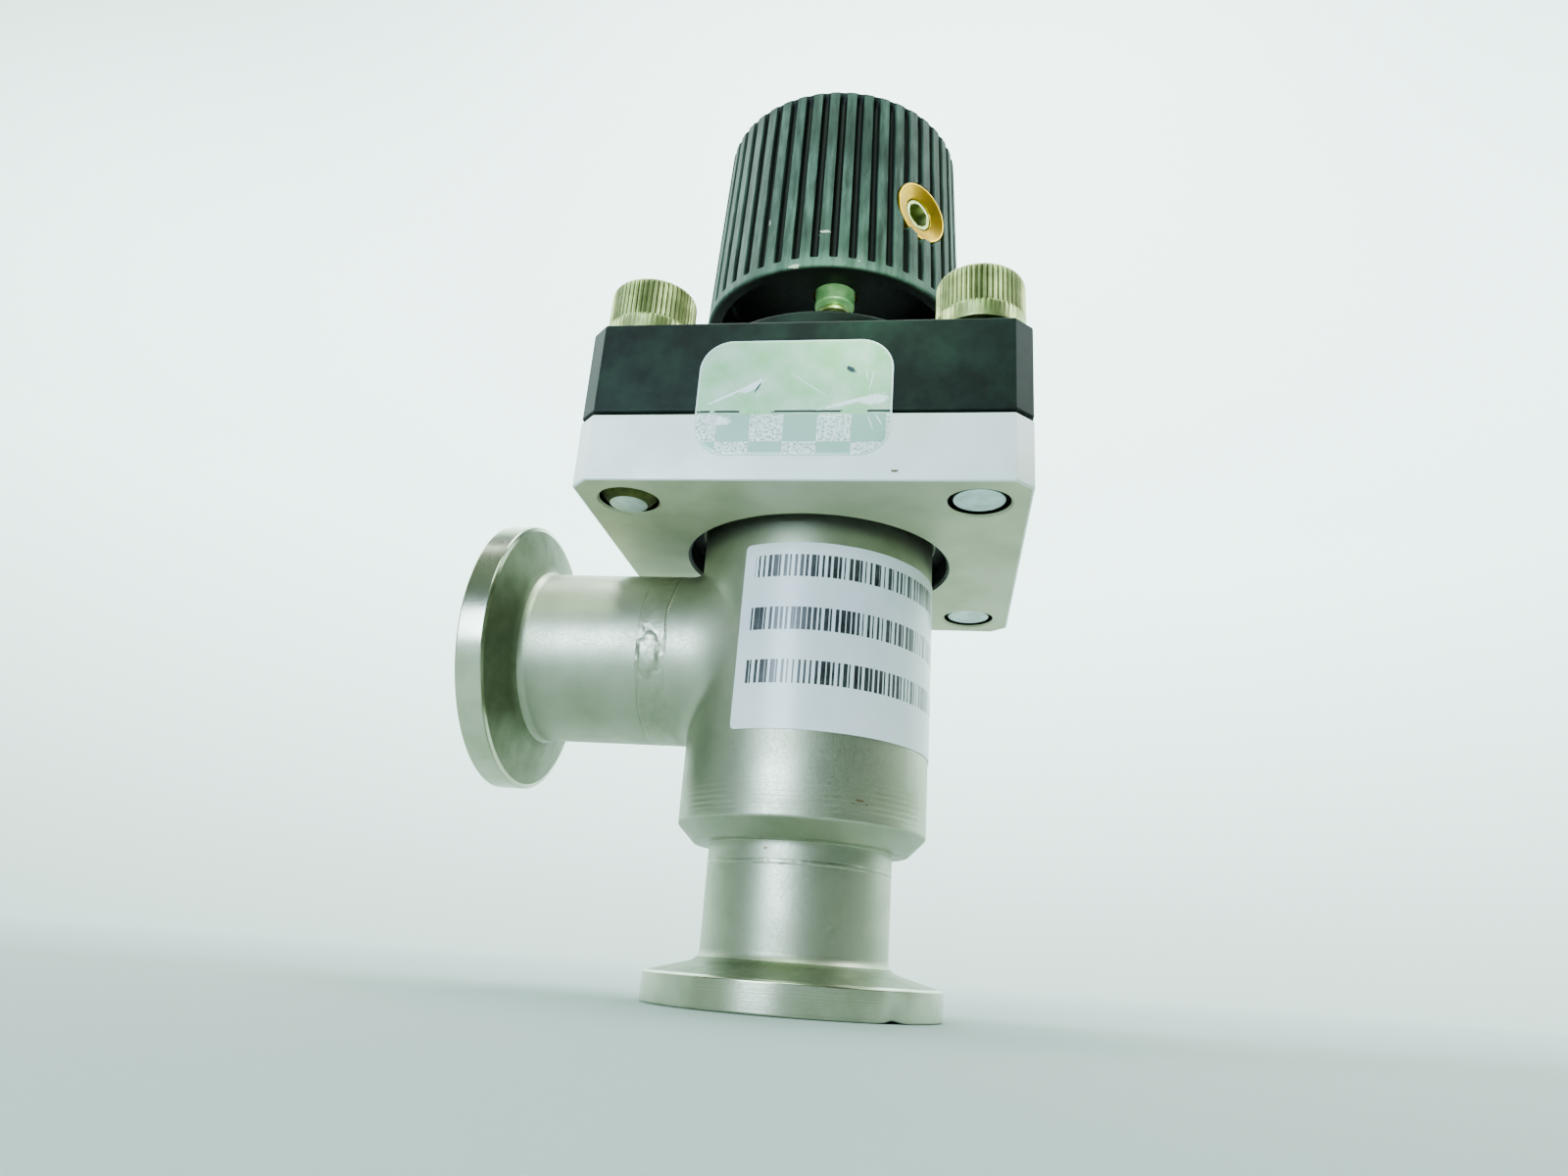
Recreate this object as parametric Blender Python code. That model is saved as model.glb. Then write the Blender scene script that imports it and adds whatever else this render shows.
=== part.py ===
"""Right-angle manual vacuum valve with a bellows-sealed poppet.

The valve stands on its lower port with +Z along the stem, and its side port points to -X.
The origin is the centre of the footprint, in the plane of the lower port's sealing face.
All sizes are in metres; every piece is built around the stem's axis and carried by an empty there.
"""

import math

import bmesh
import bpy
from mathutils import Matrix, Vector

MM = 0.001

# Clearances
FIT = 0.3 * MM
MOULDED_FIT = 0.1 * MM

# Small-flange ports and their tubes
PORT_FLANGE_RADIUS = 15.0 * MM
PORT_RIM = 2.8 * MM
PORT_TAPER = math.radians(15.0)
PORT_SEAT_RADIUS = 8.6 * MM
PORT_SEAT_DEPTH = 3.0 * MM
PORT_FILLET = 1.2 * MM
TUBE_RADIUS = 9.525 * MM
TUBE_WALL = 1.65 * MM
BOTTOM_STUB_LENGTH = 13.2 * MM
BOTTOM_WELD_WIDTH = 0.5 * MM
SIDE_STUB_LENGTH = 17.35 * MM
SIDE_WELD_WIDTH = 3.2 * MM
WELD_HEIGHT = 0.12 * MM

# Valve body
BODY_RADIUS = 12.95 * MM
BODY_WALL = 1.65 * MM
BODY_SPIGOT = 1.8 * MM
BODY_CHAMFER_SHARE = 0.51
BODY_FLOOR = 3.1 * MM
BODY_LENGTH = 34.3 * MM
BODY_FLANGE_SHARE = 0.64
BODY_FLANGE_THICKNESS = 5.0 * MM
BODY_FLANGE_WALL = 1.5 * MM
SEAT_HEIGHT = 0.6 * MM
SEAT_SHARE = 0.41
BRANCH_TO_PLATE = 2.175 * MM
BRANCH_LENGTH = 1.3 * MM
BRANCH_SIDE_BLEND = 3.6 * MM
BRANCH_END_BLEND = 0.9 * MM

# Bonnet seal
GROOVE_LAND_SHARE = 0.232
GROOVE_SHARE = 0.464
BONNET_RING_SHARE = 0.77
GROOVE_DEPTH = 1.5 * MM
BELLOWS_FLANGE_THICKNESS = 1.8 * MM

# Clamp plate and bonnet
PLATE_SIDE = 45.0 * MM
PLATE_CHAMFER = 1.8 * MM
CLAMP_PLATE_THICKNESS = 7.2 * MM
BODY_HOLE_SHARE = 0.303
BONNET_THICKNESS = 10.2 * MM
BOSS_TO_SCREW_HEAD = 4.15 * MM
BOSS_HEIGHT = 5.95 * MM
BOSS_EDGE = 0.4 * MM
BONNET_CAVITY_RADIUS = 7.0 * MM
BONNET_CAVITY_DEPTH = 7.2 * MM

# Socket head cap screws
SCREW_EDGE_DISTANCE = 5.0 * MM
SCREW_RADIUS = 3.0 * MM
SCREW_TIP_PROUD = 0.2 * MM
SCREW_HEAD_RADIUS = 4.6 * MM
SCREW_HEAD_HEIGHT = 6.35 * MM
SCREW_HEAD_EDGE = 0.5 * MM
SCREW_TIP_CHAMFER = 0.5 * MM
SCREW_SOCKET_FLATS = 4.76 * MM
SCREW_SOCKET_DEPTH = 3.2 * MM
SCREW_HOLE_CHAMFER = 0.4 * MM
LOOSE_SCREW_LIFT = 0.8 * MM

# Travel
TRAVEL = 5.2 * MM
SEAL_GAP = 0.2 * MM
CLOSED_KNOB_GAP = 0.95 * MM

# Poppet
POPPET_SHARE = 0.796
POPPET_RING_SHARE = 0.584
POPPET_GROOVE_SHARE = 0.76
POPPET_THICKNESS = 4.0 * MM
POPPET_EDGE = 0.4 * MM
POPPET_RING_HEIGHT = 1.8 * MM
POPPET_RING_PROUD = 0.5 * MM
RETAINER_THICKNESS = 1.2 * MM
POPPET_SCREW_RADIUS = 1.5 * MM
POPPET_SCREW_HEAD_RADIUS = 2.8 * MM
POPPET_SCREW_HEAD_HEIGHT = 1.6 * MM
POPPET_SCREW_GRIP = 5.0 * MM
POPPET_SCREW_SOCKET_FLATS = 2.0 * MM
POPPET_SCREW_SOCKET_DEPTH = 1.0 * MM
SHAFT_RADIUS = 4.3 * MM
SHAFT_CAP_THICKNESS = 1.5 * MM
SHAFT_TOP_GAP = 0.4 * MM
THRUST_WASHER_THICKNESS = 0.8 * MM

# Bellows
BELLOWS_OUTER_RADIUS = 8.2 * MM
BELLOWS_INNER_RADIUS = 6.0 * MM
BELLOWS_WALL = 0.3 * MM
BELLOWS_FOLDS = 8

# Stem and its bushing
THREAD_RADIUS = 2.3 * MM
STEM_COLLAR_RADIUS = 2.5 * MM
STEM_NECK_RADIUS = 1.4 * MM
STEM_NECK_LENGTH = 0.9 * MM
STEM_COLLAR_DROP = 1.8 * MM
STEM_GRIP = 10.0 * MM
STEM_HEAD_RADIUS = 2.0 * MM
STEM_HEAD_HEIGHT = 1.2 * MM
STEM_HEAD_NECK = 1.2 * MM
STEM_HEAD_DEPTH = 2.4 * MM
BUSHING_RADIUS = 5.0 * MM
BUSHING_FLANGE_THICKNESS = 1.8 * MM
BUSHING_PROUD = 0.5 * MM

# Knob
KNOB_HEIGHT = 25.8 * MM
KNOB_UNDERCUT = 0.4 * MM
KNOB_TAPER = 1.0 * MM
KNOB_WALL = 1.6 * MM
KNOB_HOLLOW_DEPTH = 7.0 * MM
KNOB_SKIN = 0.4 * MM
KNOB_LIP = 1.1 * MM
FLUTE_COUNT = 45
FLUTE_DEPTH = 0.75 * MM
FLUTE_SHARE = 0.46
FLUTE_RUNOUT = 0.7 * MM
FLUTE_PHASE = math.radians(-2.5)
INSERT_HUB_RADIUS = 5.2 * MM
INSERT_HUB_HEIGHT = 11.5 * MM
INSERT_BOSS_RADIUS = 3.75 * MM
INSERT_BOSS_HEIGHT = 3.8 * MM
INSERT_BOSS_SINK = 0.65 * MM
INSERT_BEVEL = 0.75 * MM
INSERT_ANGLE = math.radians(47.0)
SET_SCREW_RADIUS = 2.4 * MM
SET_SCREW_RECESS = 1.3 * MM
SET_SCREW_SOCKET_FLATS = 2.5 * MM
SET_SCREW_SOCKET_DEPTH = 2.6 * MM

# Labels
LABEL_THICKNESS = 0.12 * MM
BODY_LABEL_HEIGHT = 19.6 * MM
BODY_LABEL_CENTRE_SHARE = 0.583
BODY_LABEL_FIRST_FACET = -3
BODY_LABEL_FACETS = 15
SEAL_LABEL_WIDTH = 19.3 * MM
SEAL_LABEL_HEIGHT = 12.8 * MM
SEAL_LABEL_CORNER = 3.4 * MM
SEAL_LABEL_SHIFT = -0.6 * MM
SEAL_LABEL_RISE = 1.5 * MM

# Facets of round pieces
BODY_SEGMENTS = 36
PORT_SEGMENTS = 32
RING_SEGMENTS = 24
SMALL_SEGMENTS = 18
FINE_SEGMENTS = 16

# Radii and lengths worked out from the sizes above
PLATE_HALF = PLATE_SIDE / 2
SCREW_SPACING = PLATE_SIDE - 2 * SCREW_EDGE_DISTANCE
SCREW_CIRCLE_RADIUS = SCREW_SPACING / math.sqrt(2.0)
SCREW_LENGTH = BONNET_THICKNESS + FIT + CLAMP_PLATE_THICKNESS + SCREW_TIP_PROUD
BODY_BORE = BODY_RADIUS - BODY_WALL
TUBE_BORE = TUBE_RADIUS - TUBE_WALL
BODY_CHAMFER = BODY_CHAMFER_SHARE * (BODY_RADIUS - TUBE_RADIUS)
FLANGE_ROOM = SCREW_CIRCLE_RADIUS - SCREW_RADIUS - FIT - BODY_RADIUS
BODY_FLANGE_RADIUS = BODY_RADIUS + BODY_FLANGE_SHARE * FLANGE_ROOM
BODY_HOLE_RADIUS = BODY_RADIUS + BODY_HOLE_SHARE * (BODY_FLANGE_RADIUS - BODY_RADIUS)
BELLOWS_FLANGE_RADIUS = BODY_FLANGE_RADIUS - BODY_FLANGE_WALL - FIT
SEAL_ROOM = BELLOWS_FLANGE_RADIUS + FIT - BODY_BORE
GROOVE_INNER_RADIUS = BODY_BORE + GROOVE_LAND_SHARE * SEAL_ROOM
GROOVE_WIDTH = GROOVE_SHARE * SEAL_ROOM
SEAT_ROOM = BODY_BORE - TUBE_BORE
SEAT_WIDTH = SEAT_SHARE * SEAT_ROOM
SEAT_MIDDLE = TUBE_BORE + SEAT_WIDTH / 2
POPPET_RADIUS = TUBE_BORE + POPPET_SHARE * SEAT_ROOM
POPPET_RING_WIDTH = POPPET_RING_SHARE * SEAT_ROOM
POPPET_GROOVE_WIDTH = POPPET_GROOVE_SHARE * SEAT_ROOM
BRANCH_REACH = BODY_RADIUS + BRANCH_LENGTH
SIDE_REACH = BRANCH_REACH + SIDE_WELD_WIDTH + SIDE_STUB_LENGTH
AXIS_X = (SIDE_REACH - PLATE_HALF) / 2
BOSS_RADIUS = SCREW_CIRCLE_RADIUS - SCREW_HEAD_RADIUS - BOSS_TO_SCREW_HEAD
KNOB_BOTTOM_RADIUS = BOSS_RADIUS - KNOB_UNDERCUT
KNOB_TOP_RADIUS = KNOB_BOTTOM_RADIUS - KNOB_TAPER
INSERT_BOSS_REACH = KNOB_BOTTOM_RADIUS - INSERT_BOSS_SINK

# Heights worked out from the sizes above
BODY_BOTTOM = BOTTOM_STUB_LENGTH + BOTTOM_WELD_WIDTH + BODY_SPIGOT
BODY_FLOOR_TOP = BODY_BOTTOM + BODY_FLOOR
SEAT_TOP = BODY_FLOOR_TOP + SEAT_HEIGHT
BODY_FLANGE_BOTTOM = BODY_BOTTOM + BODY_LENGTH
BONNET_BOTTOM = BODY_FLANGE_BOTTOM + BODY_FLANGE_THICKNESS
CLAMP_PLATE_TOP = BONNET_BOTTOM - FIT
CLAMP_PLATE_BOTTOM = CLAMP_PLATE_TOP - CLAMP_PLATE_THICKNESS
BELLOWS_TOP = BONNET_BOTTOM - BELLOWS_FLANGE_THICKNESS
BONNET_TOP = BONNET_BOTTOM + BONNET_THICKNESS
BOSS_TOP = BONNET_TOP + BOSS_HEIGHT
BONNET_CAVITY_TOP = BONNET_BOTTOM + BONNET_CAVITY_DEPTH
BRANCH_Z = CLAMP_PLATE_BOTTOM - BRANCH_TO_PLATE - TUBE_RADIUS

RING_BOTTOM = SEAT_TOP + SEAL_GAP + TRAVEL
POPPET_FACE = RING_BOTTOM + POPPET_RING_PROUD
POPPET_BACK = POPPET_FACE + POPPET_THICKNESS
SHAFT_SHOULDER = POPPET_BACK + SHAFT_CAP_THICKNESS
BUSHING_LOW = BONNET_CAVITY_TOP - BUSHING_FLANGE_THICKNESS
STEM_SHOULDER = BUSHING_LOW - SHAFT_TOP_GAP
SHAFT_TOP = STEM_SHOULDER - THRUST_WASHER_THICKNESS
KNOB_BOTTOM = BOSS_TOP + CLOSED_KNOB_GAP + TRAVEL
KNOB_TOP = KNOB_BOTTOM + KNOB_HEIGHT
KNOB_CEILING = KNOB_BOTTOM + KNOB_HOLLOW_DEPTH
INSERT_BOTTOM = KNOB_CEILING + KNOB_SKIN
INSERT_BOSS_Z = INSERT_BOTTOM + INSERT_BOSS_HEIGHT


def make_material(name, colour, metallic, roughness):
    """Return a Principled material with the given colour, metalness and roughness."""
    material = bpy.data.materials.new(name)
    material.use_nodes = True
    shader = material.node_tree.nodes["Principled BSDF"]
    shader.inputs["Base Color"].default_value = (*colour, 1.0)
    shader.inputs["Metallic"].default_value = metallic
    shader.inputs["Roughness"].default_value = roughness
    return material


def finish_mesh(name, build, parent, material):
    """Turn a filled bmesh into a named object with outward faces and smooth round sides."""
    bmesh.ops.remove_doubles(build, verts=build.verts, dist=1e-7)
    bmesh.ops.recalc_face_normals(build, faces=build.faces)
    mesh = bpy.data.meshes.new(name)
    build.to_mesh(mesh)
    build.free()
    mesh.shade_smooth()
    mesh.set_sharp_from_angle(angle=math.radians(30.0))
    piece = bpy.data.objects.new(name, mesh)
    bpy.context.collection.objects.link(piece)
    piece.parent = parent
    if material is not None:
        mesh.materials.append(material)
    return piece


def turned(name, profile, segments, parent, material=None, place=None):
    """Spin an (r, z) profile about the axis; a profile with r = 0 at both ends is a solid piece."""
    build = bmesh.new()
    points = [build.verts.new((radius, 0.0, height)) for radius, height in profile]
    edges = [build.edges.new(pair) for pair in zip(points, points[1:])]
    if min(profile[0][0], profile[-1][0]) > 0.0:
        edges.append(build.edges.new((points[-1], points[0])))
    bmesh.ops.spin(
        build, geom=points + edges, axis=(0, 0, 1), cent=(0, 0, 0),
        steps=segments, angle=2 * math.pi, use_merge=True,
    )
    if place is not None:
        bmesh.ops.transform(build, matrix=place, verts=build.verts)
    return finish_mesh(name, build, parent, material)


def prism(name, outline, bottom, top, parent, material=None, place=None):
    """Extrude a closed (x, y) outline from one height to another."""
    build = bmesh.new()
    face = build.faces.new([build.verts.new((x, y, bottom)) for x, y in outline])
    raised = bmesh.ops.extrude_face_region(build, geom=[face])["geom"]
    corners = [item for item in raised if isinstance(item, bmesh.types.BMVert)]
    bmesh.ops.translate(build, vec=(0, 0, top - bottom), verts=corners)
    if place is not None:
        bmesh.ops.transform(build, matrix=place, verts=build.verts)
    return finish_mesh(name, build, parent, material)


def loft(name, loops, parent, material=None):
    """Bridge equal closed loops of points in order and close both ends."""
    build = bmesh.new()
    rings = [[build.verts.new(point) for point in loop] for loop in loops]
    for low, high in zip(rings, rings[1:]):
        for index, corner in enumerate(low):
            after = (index + 1) % len(low)
            build.faces.new((corner, low[after], high[after], high[index]))
    build.faces.new(rings[0])
    build.faces.new(rings[-1])
    return finish_mesh(name, build, parent, material)


def arc(centre, radius, start, stop, steps):
    """Points (a, b) on an arc, both ends included; angles are in radians."""
    angles = [start + (stop - start) * step / steps for step in range(steps + 1)]
    return [(centre[0] + radius * math.cos(a), centre[1] + radius * math.sin(a)) for a in angles]


def combine(piece, tool, operation):
    """Cut a tool from a piece, or join it to the piece, and keep the tool as a hidden guide."""
    modifier = piece.modifiers.new(tool.name, "BOOLEAN")
    modifier.operation = operation
    modifier.solver = "EXACT"
    modifier.object = tool
    tool.hide_render = True
    tool.display_type = "WIRE"


def hexagon(across_flats):
    """Corners of a hexagon with the given distance across its flats."""
    radius = across_flats / (2 * math.cos(math.pi / 6))
    return [(radius * math.cos(a), radius * math.sin(a)) for a in (math.pi * k / 3 for k in range(6))]


def chamfered_square(half, chamfer):
    """Corners of a square with its corners cut off."""
    inner = half - chamfer
    quarter = [(half, inner), (inner, half)]
    turns = [(1, 0), (0, 1), (-1, 0), (0, -1)]
    return [(x * c - y * s, x * s + y * c) for c, s in turns for x, y in quarter]


def rounded_rectangle(width, height, radius, steps):
    """Outline of a rectangle with round corners, anticlockwise."""
    outline = []
    for quarter, (side_x, side_y) in enumerate([(1, 1), (-1, 1), (-1, -1), (1, -1)]):
        centre = (side_x * (width / 2 - radius), side_y * (height / 2 - radius))
        start = quarter * math.pi / 2
        outline += arc(centre, radius, start, start + math.pi / 2, steps)
    return outline


def make_port_stub(name, length, parent, material, place=None):
    """Turned flange and tube: a flat sealing face, a seat for the centring ring and a tapered back."""
    cone_end = TUBE_RADIUS + PORT_FILLET * (1 - math.sin(PORT_TAPER))
    cone_top = PORT_RIM + (PORT_FLANGE_RADIUS - cone_end) * math.tan(PORT_TAPER)
    fillet_top = cone_top + PORT_FILLET * math.cos(PORT_TAPER)
    fillet = arc(
        (TUBE_RADIUS + PORT_FILLET, fillet_top), PORT_FILLET,
        math.radians(270.0) - PORT_TAPER, math.pi, 1,
    )
    profile = [
        (PORT_SEAT_RADIUS, 0.0),
        (PORT_FLANGE_RADIUS, 0.0),
        (PORT_FLANGE_RADIUS, PORT_RIM),
        *fillet,
        (TUBE_RADIUS, length),
        (TUBE_BORE, length),
        (TUBE_BORE, PORT_SEAT_DEPTH),
        (PORT_SEAT_RADIUS, PORT_SEAT_DEPTH),
    ]
    return turned(name, profile, PORT_SEGMENTS, parent, material, place)


def along_side_port(start):
    """Matrix that lays a turned piece along the side port, its z = 0 at a reach from the axis."""
    return Matrix.Translation((-start, 0.0, BRANCH_Z)) @ Matrix.Rotation(math.pi / 2, 4, "Y")


def make_ports(parent, steel):
    """Both flange stubs and the two welds that join them to the body."""
    make_port_stub("bottom_port_stub", BOTTOM_STUB_LENGTH, parent, steel)
    make_port_stub("side_port_stub", SIDE_STUB_LENGTH, parent, steel, along_side_port(SIDE_REACH))

    def weld_profile(start, width):
        crown = TUBE_RADIUS + WELD_HEIGHT
        return [(TUBE_BORE, start), (crown, start), (crown, start + width), (TUBE_BORE, start + width)]

    turned("bottom_weld", weld_profile(BOTTOM_STUB_LENGTH, BOTTOM_WELD_WIDTH), RING_SEGMENTS, parent, steel)
    weld_start = SIDE_REACH - SIDE_STUB_LENGTH
    turned("side_weld", weld_profile(0.0, SIDE_WELD_WIDTH), RING_SEGMENTS, parent, steel,
           along_side_port(weld_start))


def make_branch(parent):
    """Drawn branch that flows out of the body: round at its end, saddle-shaped at its root."""
    steps = RING_SEGMENTS
    angles = [2 * math.pi * (step + 0.5) / steps for step in range(steps)]

    def loop(reach_of, radius_of):
        return [
            (-reach_of(a), radius_of(a) * math.sin(a), BRANCH_Z + radius_of(a) * math.cos(a))
            for a in angles
        ]

    def blend(a):
        return BRANCH_END_BLEND + (BRANCH_SIDE_BLEND - BRANCH_END_BLEND) * math.sin(a) ** 2

    def on_body(a, radius):
        return math.sqrt(BODY_RADIUS ** 2 - (radius * math.sin(a)) ** 2)

    def corner(a):
        return on_body(a, TUBE_RADIUS)

    def blended(share):
        turn = share * math.pi / 2
        spread = 0.5 * (1 - math.cos(turn))
        advance = 1 - math.sin(turn)
        return (
            lambda a: corner(a) + blend(a) * advance - 0.9 * MM * share,
            lambda a: TUBE_RADIUS + blend(a) * spread,
        )

    loops = [
        loop(lambda a: BRANCH_REACH, lambda a: TUBE_RADIUS),
        *[loop(*blended(share)) for share in (0.0, 0.5, 1.0)],
        loop(lambda a: on_body(a, TUBE_RADIUS) - BODY_WALL, lambda a: TUBE_BORE + TUBE_WALL / 2),
    ]
    return loft("branch_guide", loops, parent)


def make_valve_body(parent, steel):
    """Turned body with the seat, the drawn branch and the flange that the clamp plate pulls up."""
    recess = BELLOWS_FLANGE_RADIUS + FIT
    groove_outer = GROOVE_INNER_RADIUS + GROOVE_WIDTH
    groove_floor = BELLOWS_TOP - GROOVE_DEPTH
    chamfer_radius = BODY_RADIUS - BODY_CHAMFER
    profile = [
        (TUBE_RADIUS, BODY_BOTTOM - BODY_SPIGOT),
        (TUBE_RADIUS, BODY_BOTTOM),
        (chamfer_radius, BODY_BOTTOM),
        (BODY_RADIUS, BODY_BOTTOM + BODY_CHAMFER),
        (BODY_RADIUS, BODY_FLANGE_BOTTOM),
        (BODY_FLANGE_RADIUS, BODY_FLANGE_BOTTOM),
        (BODY_FLANGE_RADIUS, BONNET_BOTTOM),
        (recess, BONNET_BOTTOM),
        (recess, BELLOWS_TOP),
        (groove_outer, BELLOWS_TOP),
        (groove_outer, groove_floor),
        (GROOVE_INNER_RADIUS, groove_floor),
        (GROOVE_INNER_RADIUS, BELLOWS_TOP),
        (BODY_BORE, BELLOWS_TOP),
        (BODY_BORE, BODY_FLOOR_TOP),
        (TUBE_BORE + SEAT_WIDTH, BODY_FLOOR_TOP),
        (TUBE_BORE + SEAT_WIDTH, SEAT_TOP),
        (TUBE_BORE, SEAT_TOP),
        (TUBE_BORE, BODY_BOTTOM - BODY_SPIGOT),
    ]
    body = turned("valve_body", profile, BODY_SEGMENTS, parent, steel)
    combine(body, make_branch(parent), "UNION")
    bore_length = BRANCH_REACH + FIT
    bore = [(0.0, -FIT), (TUBE_BORE, -FIT), (TUBE_BORE, bore_length), (0.0, bore_length)]
    combine(body, turned("branch_bore", bore, PORT_SEGMENTS, parent, place=along_side_port(BRANCH_REACH)),
            "DIFFERENCE")
    clear_end = BODY_BORE - FIT
    hollow = [(0.0, BODY_FLOOR_TOP + FIT), (clear_end, BODY_FLOOR_TOP + FIT),
              (clear_end, BELLOWS_TOP), (0.0, BELLOWS_TOP)]
    combine(body, turned("branch_root_cutter", hollow, BODY_SEGMENTS, parent), "DIFFERENCE")
    return body


def screw_places():
    """The four screw axes, as (name, x, y), front ones first."""
    offset = SCREW_SPACING / 2
    sides = [("front_left", -1, -1), ("front_right", 1, -1), ("rear_left", -1, 1), ("rear_right", 1, 1)]
    return [(name, side_x * offset, side_y * offset) for name, side_x, side_y in sides]


def make_clamp_plate(parent, aluminium):
    """Square plate with a stepped hole for the body's flange and four tapped holes."""
    outline = chamfered_square(PLATE_HALF, PLATE_CHAMFER)
    plate = prism("clamp_plate", outline, CLAMP_PLATE_BOTTOM, CLAMP_PLATE_TOP, parent, aluminium)
    hole = BODY_HOLE_RADIUS
    step = BODY_FLANGE_RADIUS + FIT
    over = 1.0 * MM
    stepped_hole = [
        (0.0, CLAMP_PLATE_BOTTOM - over),
        (hole, CLAMP_PLATE_BOTTOM - over),
        (hole, BODY_FLANGE_BOTTOM),
        (step, BODY_FLANGE_BOTTOM),
        (step, CLAMP_PLATE_TOP + over),
        (0.0, CLAMP_PLATE_TOP + over),
    ]
    combine(plate, turned("clamp_hole_cutter", stepped_hole, PORT_SEGMENTS, parent), "DIFFERENCE")
    thread = SCREW_RADIUS + FIT
    mouth = thread + SCREW_HOLE_CHAMFER
    tapped_hole = [
        (0.0, CLAMP_PLATE_BOTTOM - over),
        (mouth + over, CLAMP_PLATE_BOTTOM - over),
        (thread, CLAMP_PLATE_BOTTOM + SCREW_HOLE_CHAMFER),
        (thread, CLAMP_PLATE_TOP + over),
        (0.0, CLAMP_PLATE_TOP + over),
    ]
    for name, x, y in screw_places():
        cutter = turned(f"tapped_{name}", tapped_hole, FINE_SEGMENTS, parent)
        cutter.location = (x, y, 0.0)
        combine(plate, cutter, "DIFFERENCE")
    return plate


def make_bonnet(parent, anodised):
    """Square bonnet with a round boss, a cavity for the shaft and clearance holes for the screws."""
    outline = chamfered_square(PLATE_HALF, PLATE_CHAMFER)
    bonnet = prism("bonnet", outline, BONNET_BOTTOM, BONNET_TOP, parent, anodised)
    boss = [
        (0.0, BONNET_TOP - BONNET_THICKNESS / 2),
        (BOSS_RADIUS, BONNET_TOP - BONNET_THICKNESS / 2),
        (BOSS_RADIUS, BOSS_TOP - BOSS_EDGE),
        (BOSS_RADIUS - BOSS_EDGE, BOSS_TOP),
        (0.0, BOSS_TOP),
    ]
    combine(bonnet, turned("boss_guide", boss, PORT_SEGMENTS, parent), "UNION")
    over = 1.0 * MM
    bore = BUSHING_RADIUS + FIT
    stepped_bore = [
        (0.0, BONNET_BOTTOM - over),
        (BONNET_CAVITY_RADIUS, BONNET_BOTTOM - over),
        (BONNET_CAVITY_RADIUS, BONNET_CAVITY_TOP),
        (bore, BONNET_CAVITY_TOP),
        (bore, BOSS_TOP + over),
        (0.0, BOSS_TOP + over),
    ]
    combine(bonnet, turned("bonnet_bore_cutter", stepped_bore, RING_SEGMENTS, parent), "DIFFERENCE")
    hole = SCREW_RADIUS + FIT
    through = [(0.0, BONNET_BOTTOM - over), (hole, BONNET_BOTTOM - over),
               (hole, BONNET_TOP + over), (0.0, BONNET_TOP + over)]
    for name, x, y in screw_places():
        cutter = turned(f"clearance_{name}", through, FINE_SEGMENTS, parent)
        cutter.location = (x, y, 0.0)
        combine(bonnet, cutter, "DIFFERENCE")
    return bonnet


def make_cap_screws(parent, steel):
    """Four socket head cap screws; the front right one is backed out a little, as found."""
    profile = [
        (0.0, -SCREW_LENGTH),
        (SCREW_RADIUS - SCREW_TIP_CHAMFER, -SCREW_LENGTH),
        (SCREW_RADIUS, SCREW_TIP_CHAMFER - SCREW_LENGTH),
        (SCREW_RADIUS, 0.0),
        (SCREW_HEAD_RADIUS, 0.0),
        (SCREW_HEAD_RADIUS, SCREW_HEAD_HEIGHT - SCREW_HEAD_EDGE),
        (SCREW_HEAD_RADIUS - SCREW_HEAD_EDGE, SCREW_HEAD_HEIGHT),
        (0.0, SCREW_HEAD_HEIGHT),
    ]
    for name, x, y in screw_places():
        lift = LOOSE_SCREW_LIFT if name == "front_right" else 0.0
        screw = turned(f"cap_screw_{name}", profile, SMALL_SEGMENTS, parent, steel)
        socket = prism(f"socket_{name}", hexagon(SCREW_SOCKET_FLATS),
                       SCREW_HEAD_HEIGHT - SCREW_SOCKET_DEPTH, SCREW_HEAD_HEIGHT + 1.0 * MM, parent)
        for piece in (screw, socket):
            piece.location = (x, y, BONNET_TOP + lift)
        combine(screw, socket, "DIFFERENCE")


def make_seal_ring(name, middle, width, bottom, height, parent, rubber, place=None):
    """O-ring with flats where it is squeezed between two faces."""
    flat = width / 4
    half = width / 2
    waist = bottom + height / 2
    profile = [
        (middle - flat, bottom),
        (middle + flat, bottom),
        (middle + half, waist),
        (middle + flat, bottom + height),
        (middle - flat, bottom + height),
        (middle - half, waist),
    ]
    return turned(name, profile, RING_SEGMENTS, parent, rubber, place)


def make_bonnet_seal(parent, steel, rubber):
    """Ring that carries the bellows' upper end, and the O-ring below it in the body's groove."""
    bore = BELLOWS_INNER_RADIUS - BELLOWS_WALL
    flange = [
        (bore, BELLOWS_TOP),
        (BELLOWS_FLANGE_RADIUS, BELLOWS_TOP),
        (BELLOWS_FLANGE_RADIUS, BONNET_BOTTOM),
        (bore, BONNET_BOTTOM),
    ]
    turned("bellows_flange", flange, RING_SEGMENTS, parent, steel)
    make_seal_ring(
        "bonnet_o_ring", GROOVE_INNER_RADIUS + GROOVE_WIDTH / 2, BONNET_RING_SHARE * GROOVE_WIDTH,
        BELLOWS_TOP - GROOVE_DEPTH, GROOVE_DEPTH, parent, rubber,
    )


def make_bellows(parent, steel):
    """Thin corrugated tube between the shaft's cap and the bellows flange."""
    turns = 2 * BELLOWS_FOLDS
    pitch = (BELLOWS_TOP - SHAFT_SHOULDER) / turns
    outside = []
    inside = []
    for step in range(turns + 1):
        height = SHAFT_SHOULDER + step * pitch
        radius = BELLOWS_OUTER_RADIUS if step % 2 else BELLOWS_INNER_RADIUS
        outside.append((radius, height))
        inside.append((radius - BELLOWS_WALL, height))
    return turned("bellows", outside + inside[::-1], FINE_SEGMENTS, parent, steel)


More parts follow.
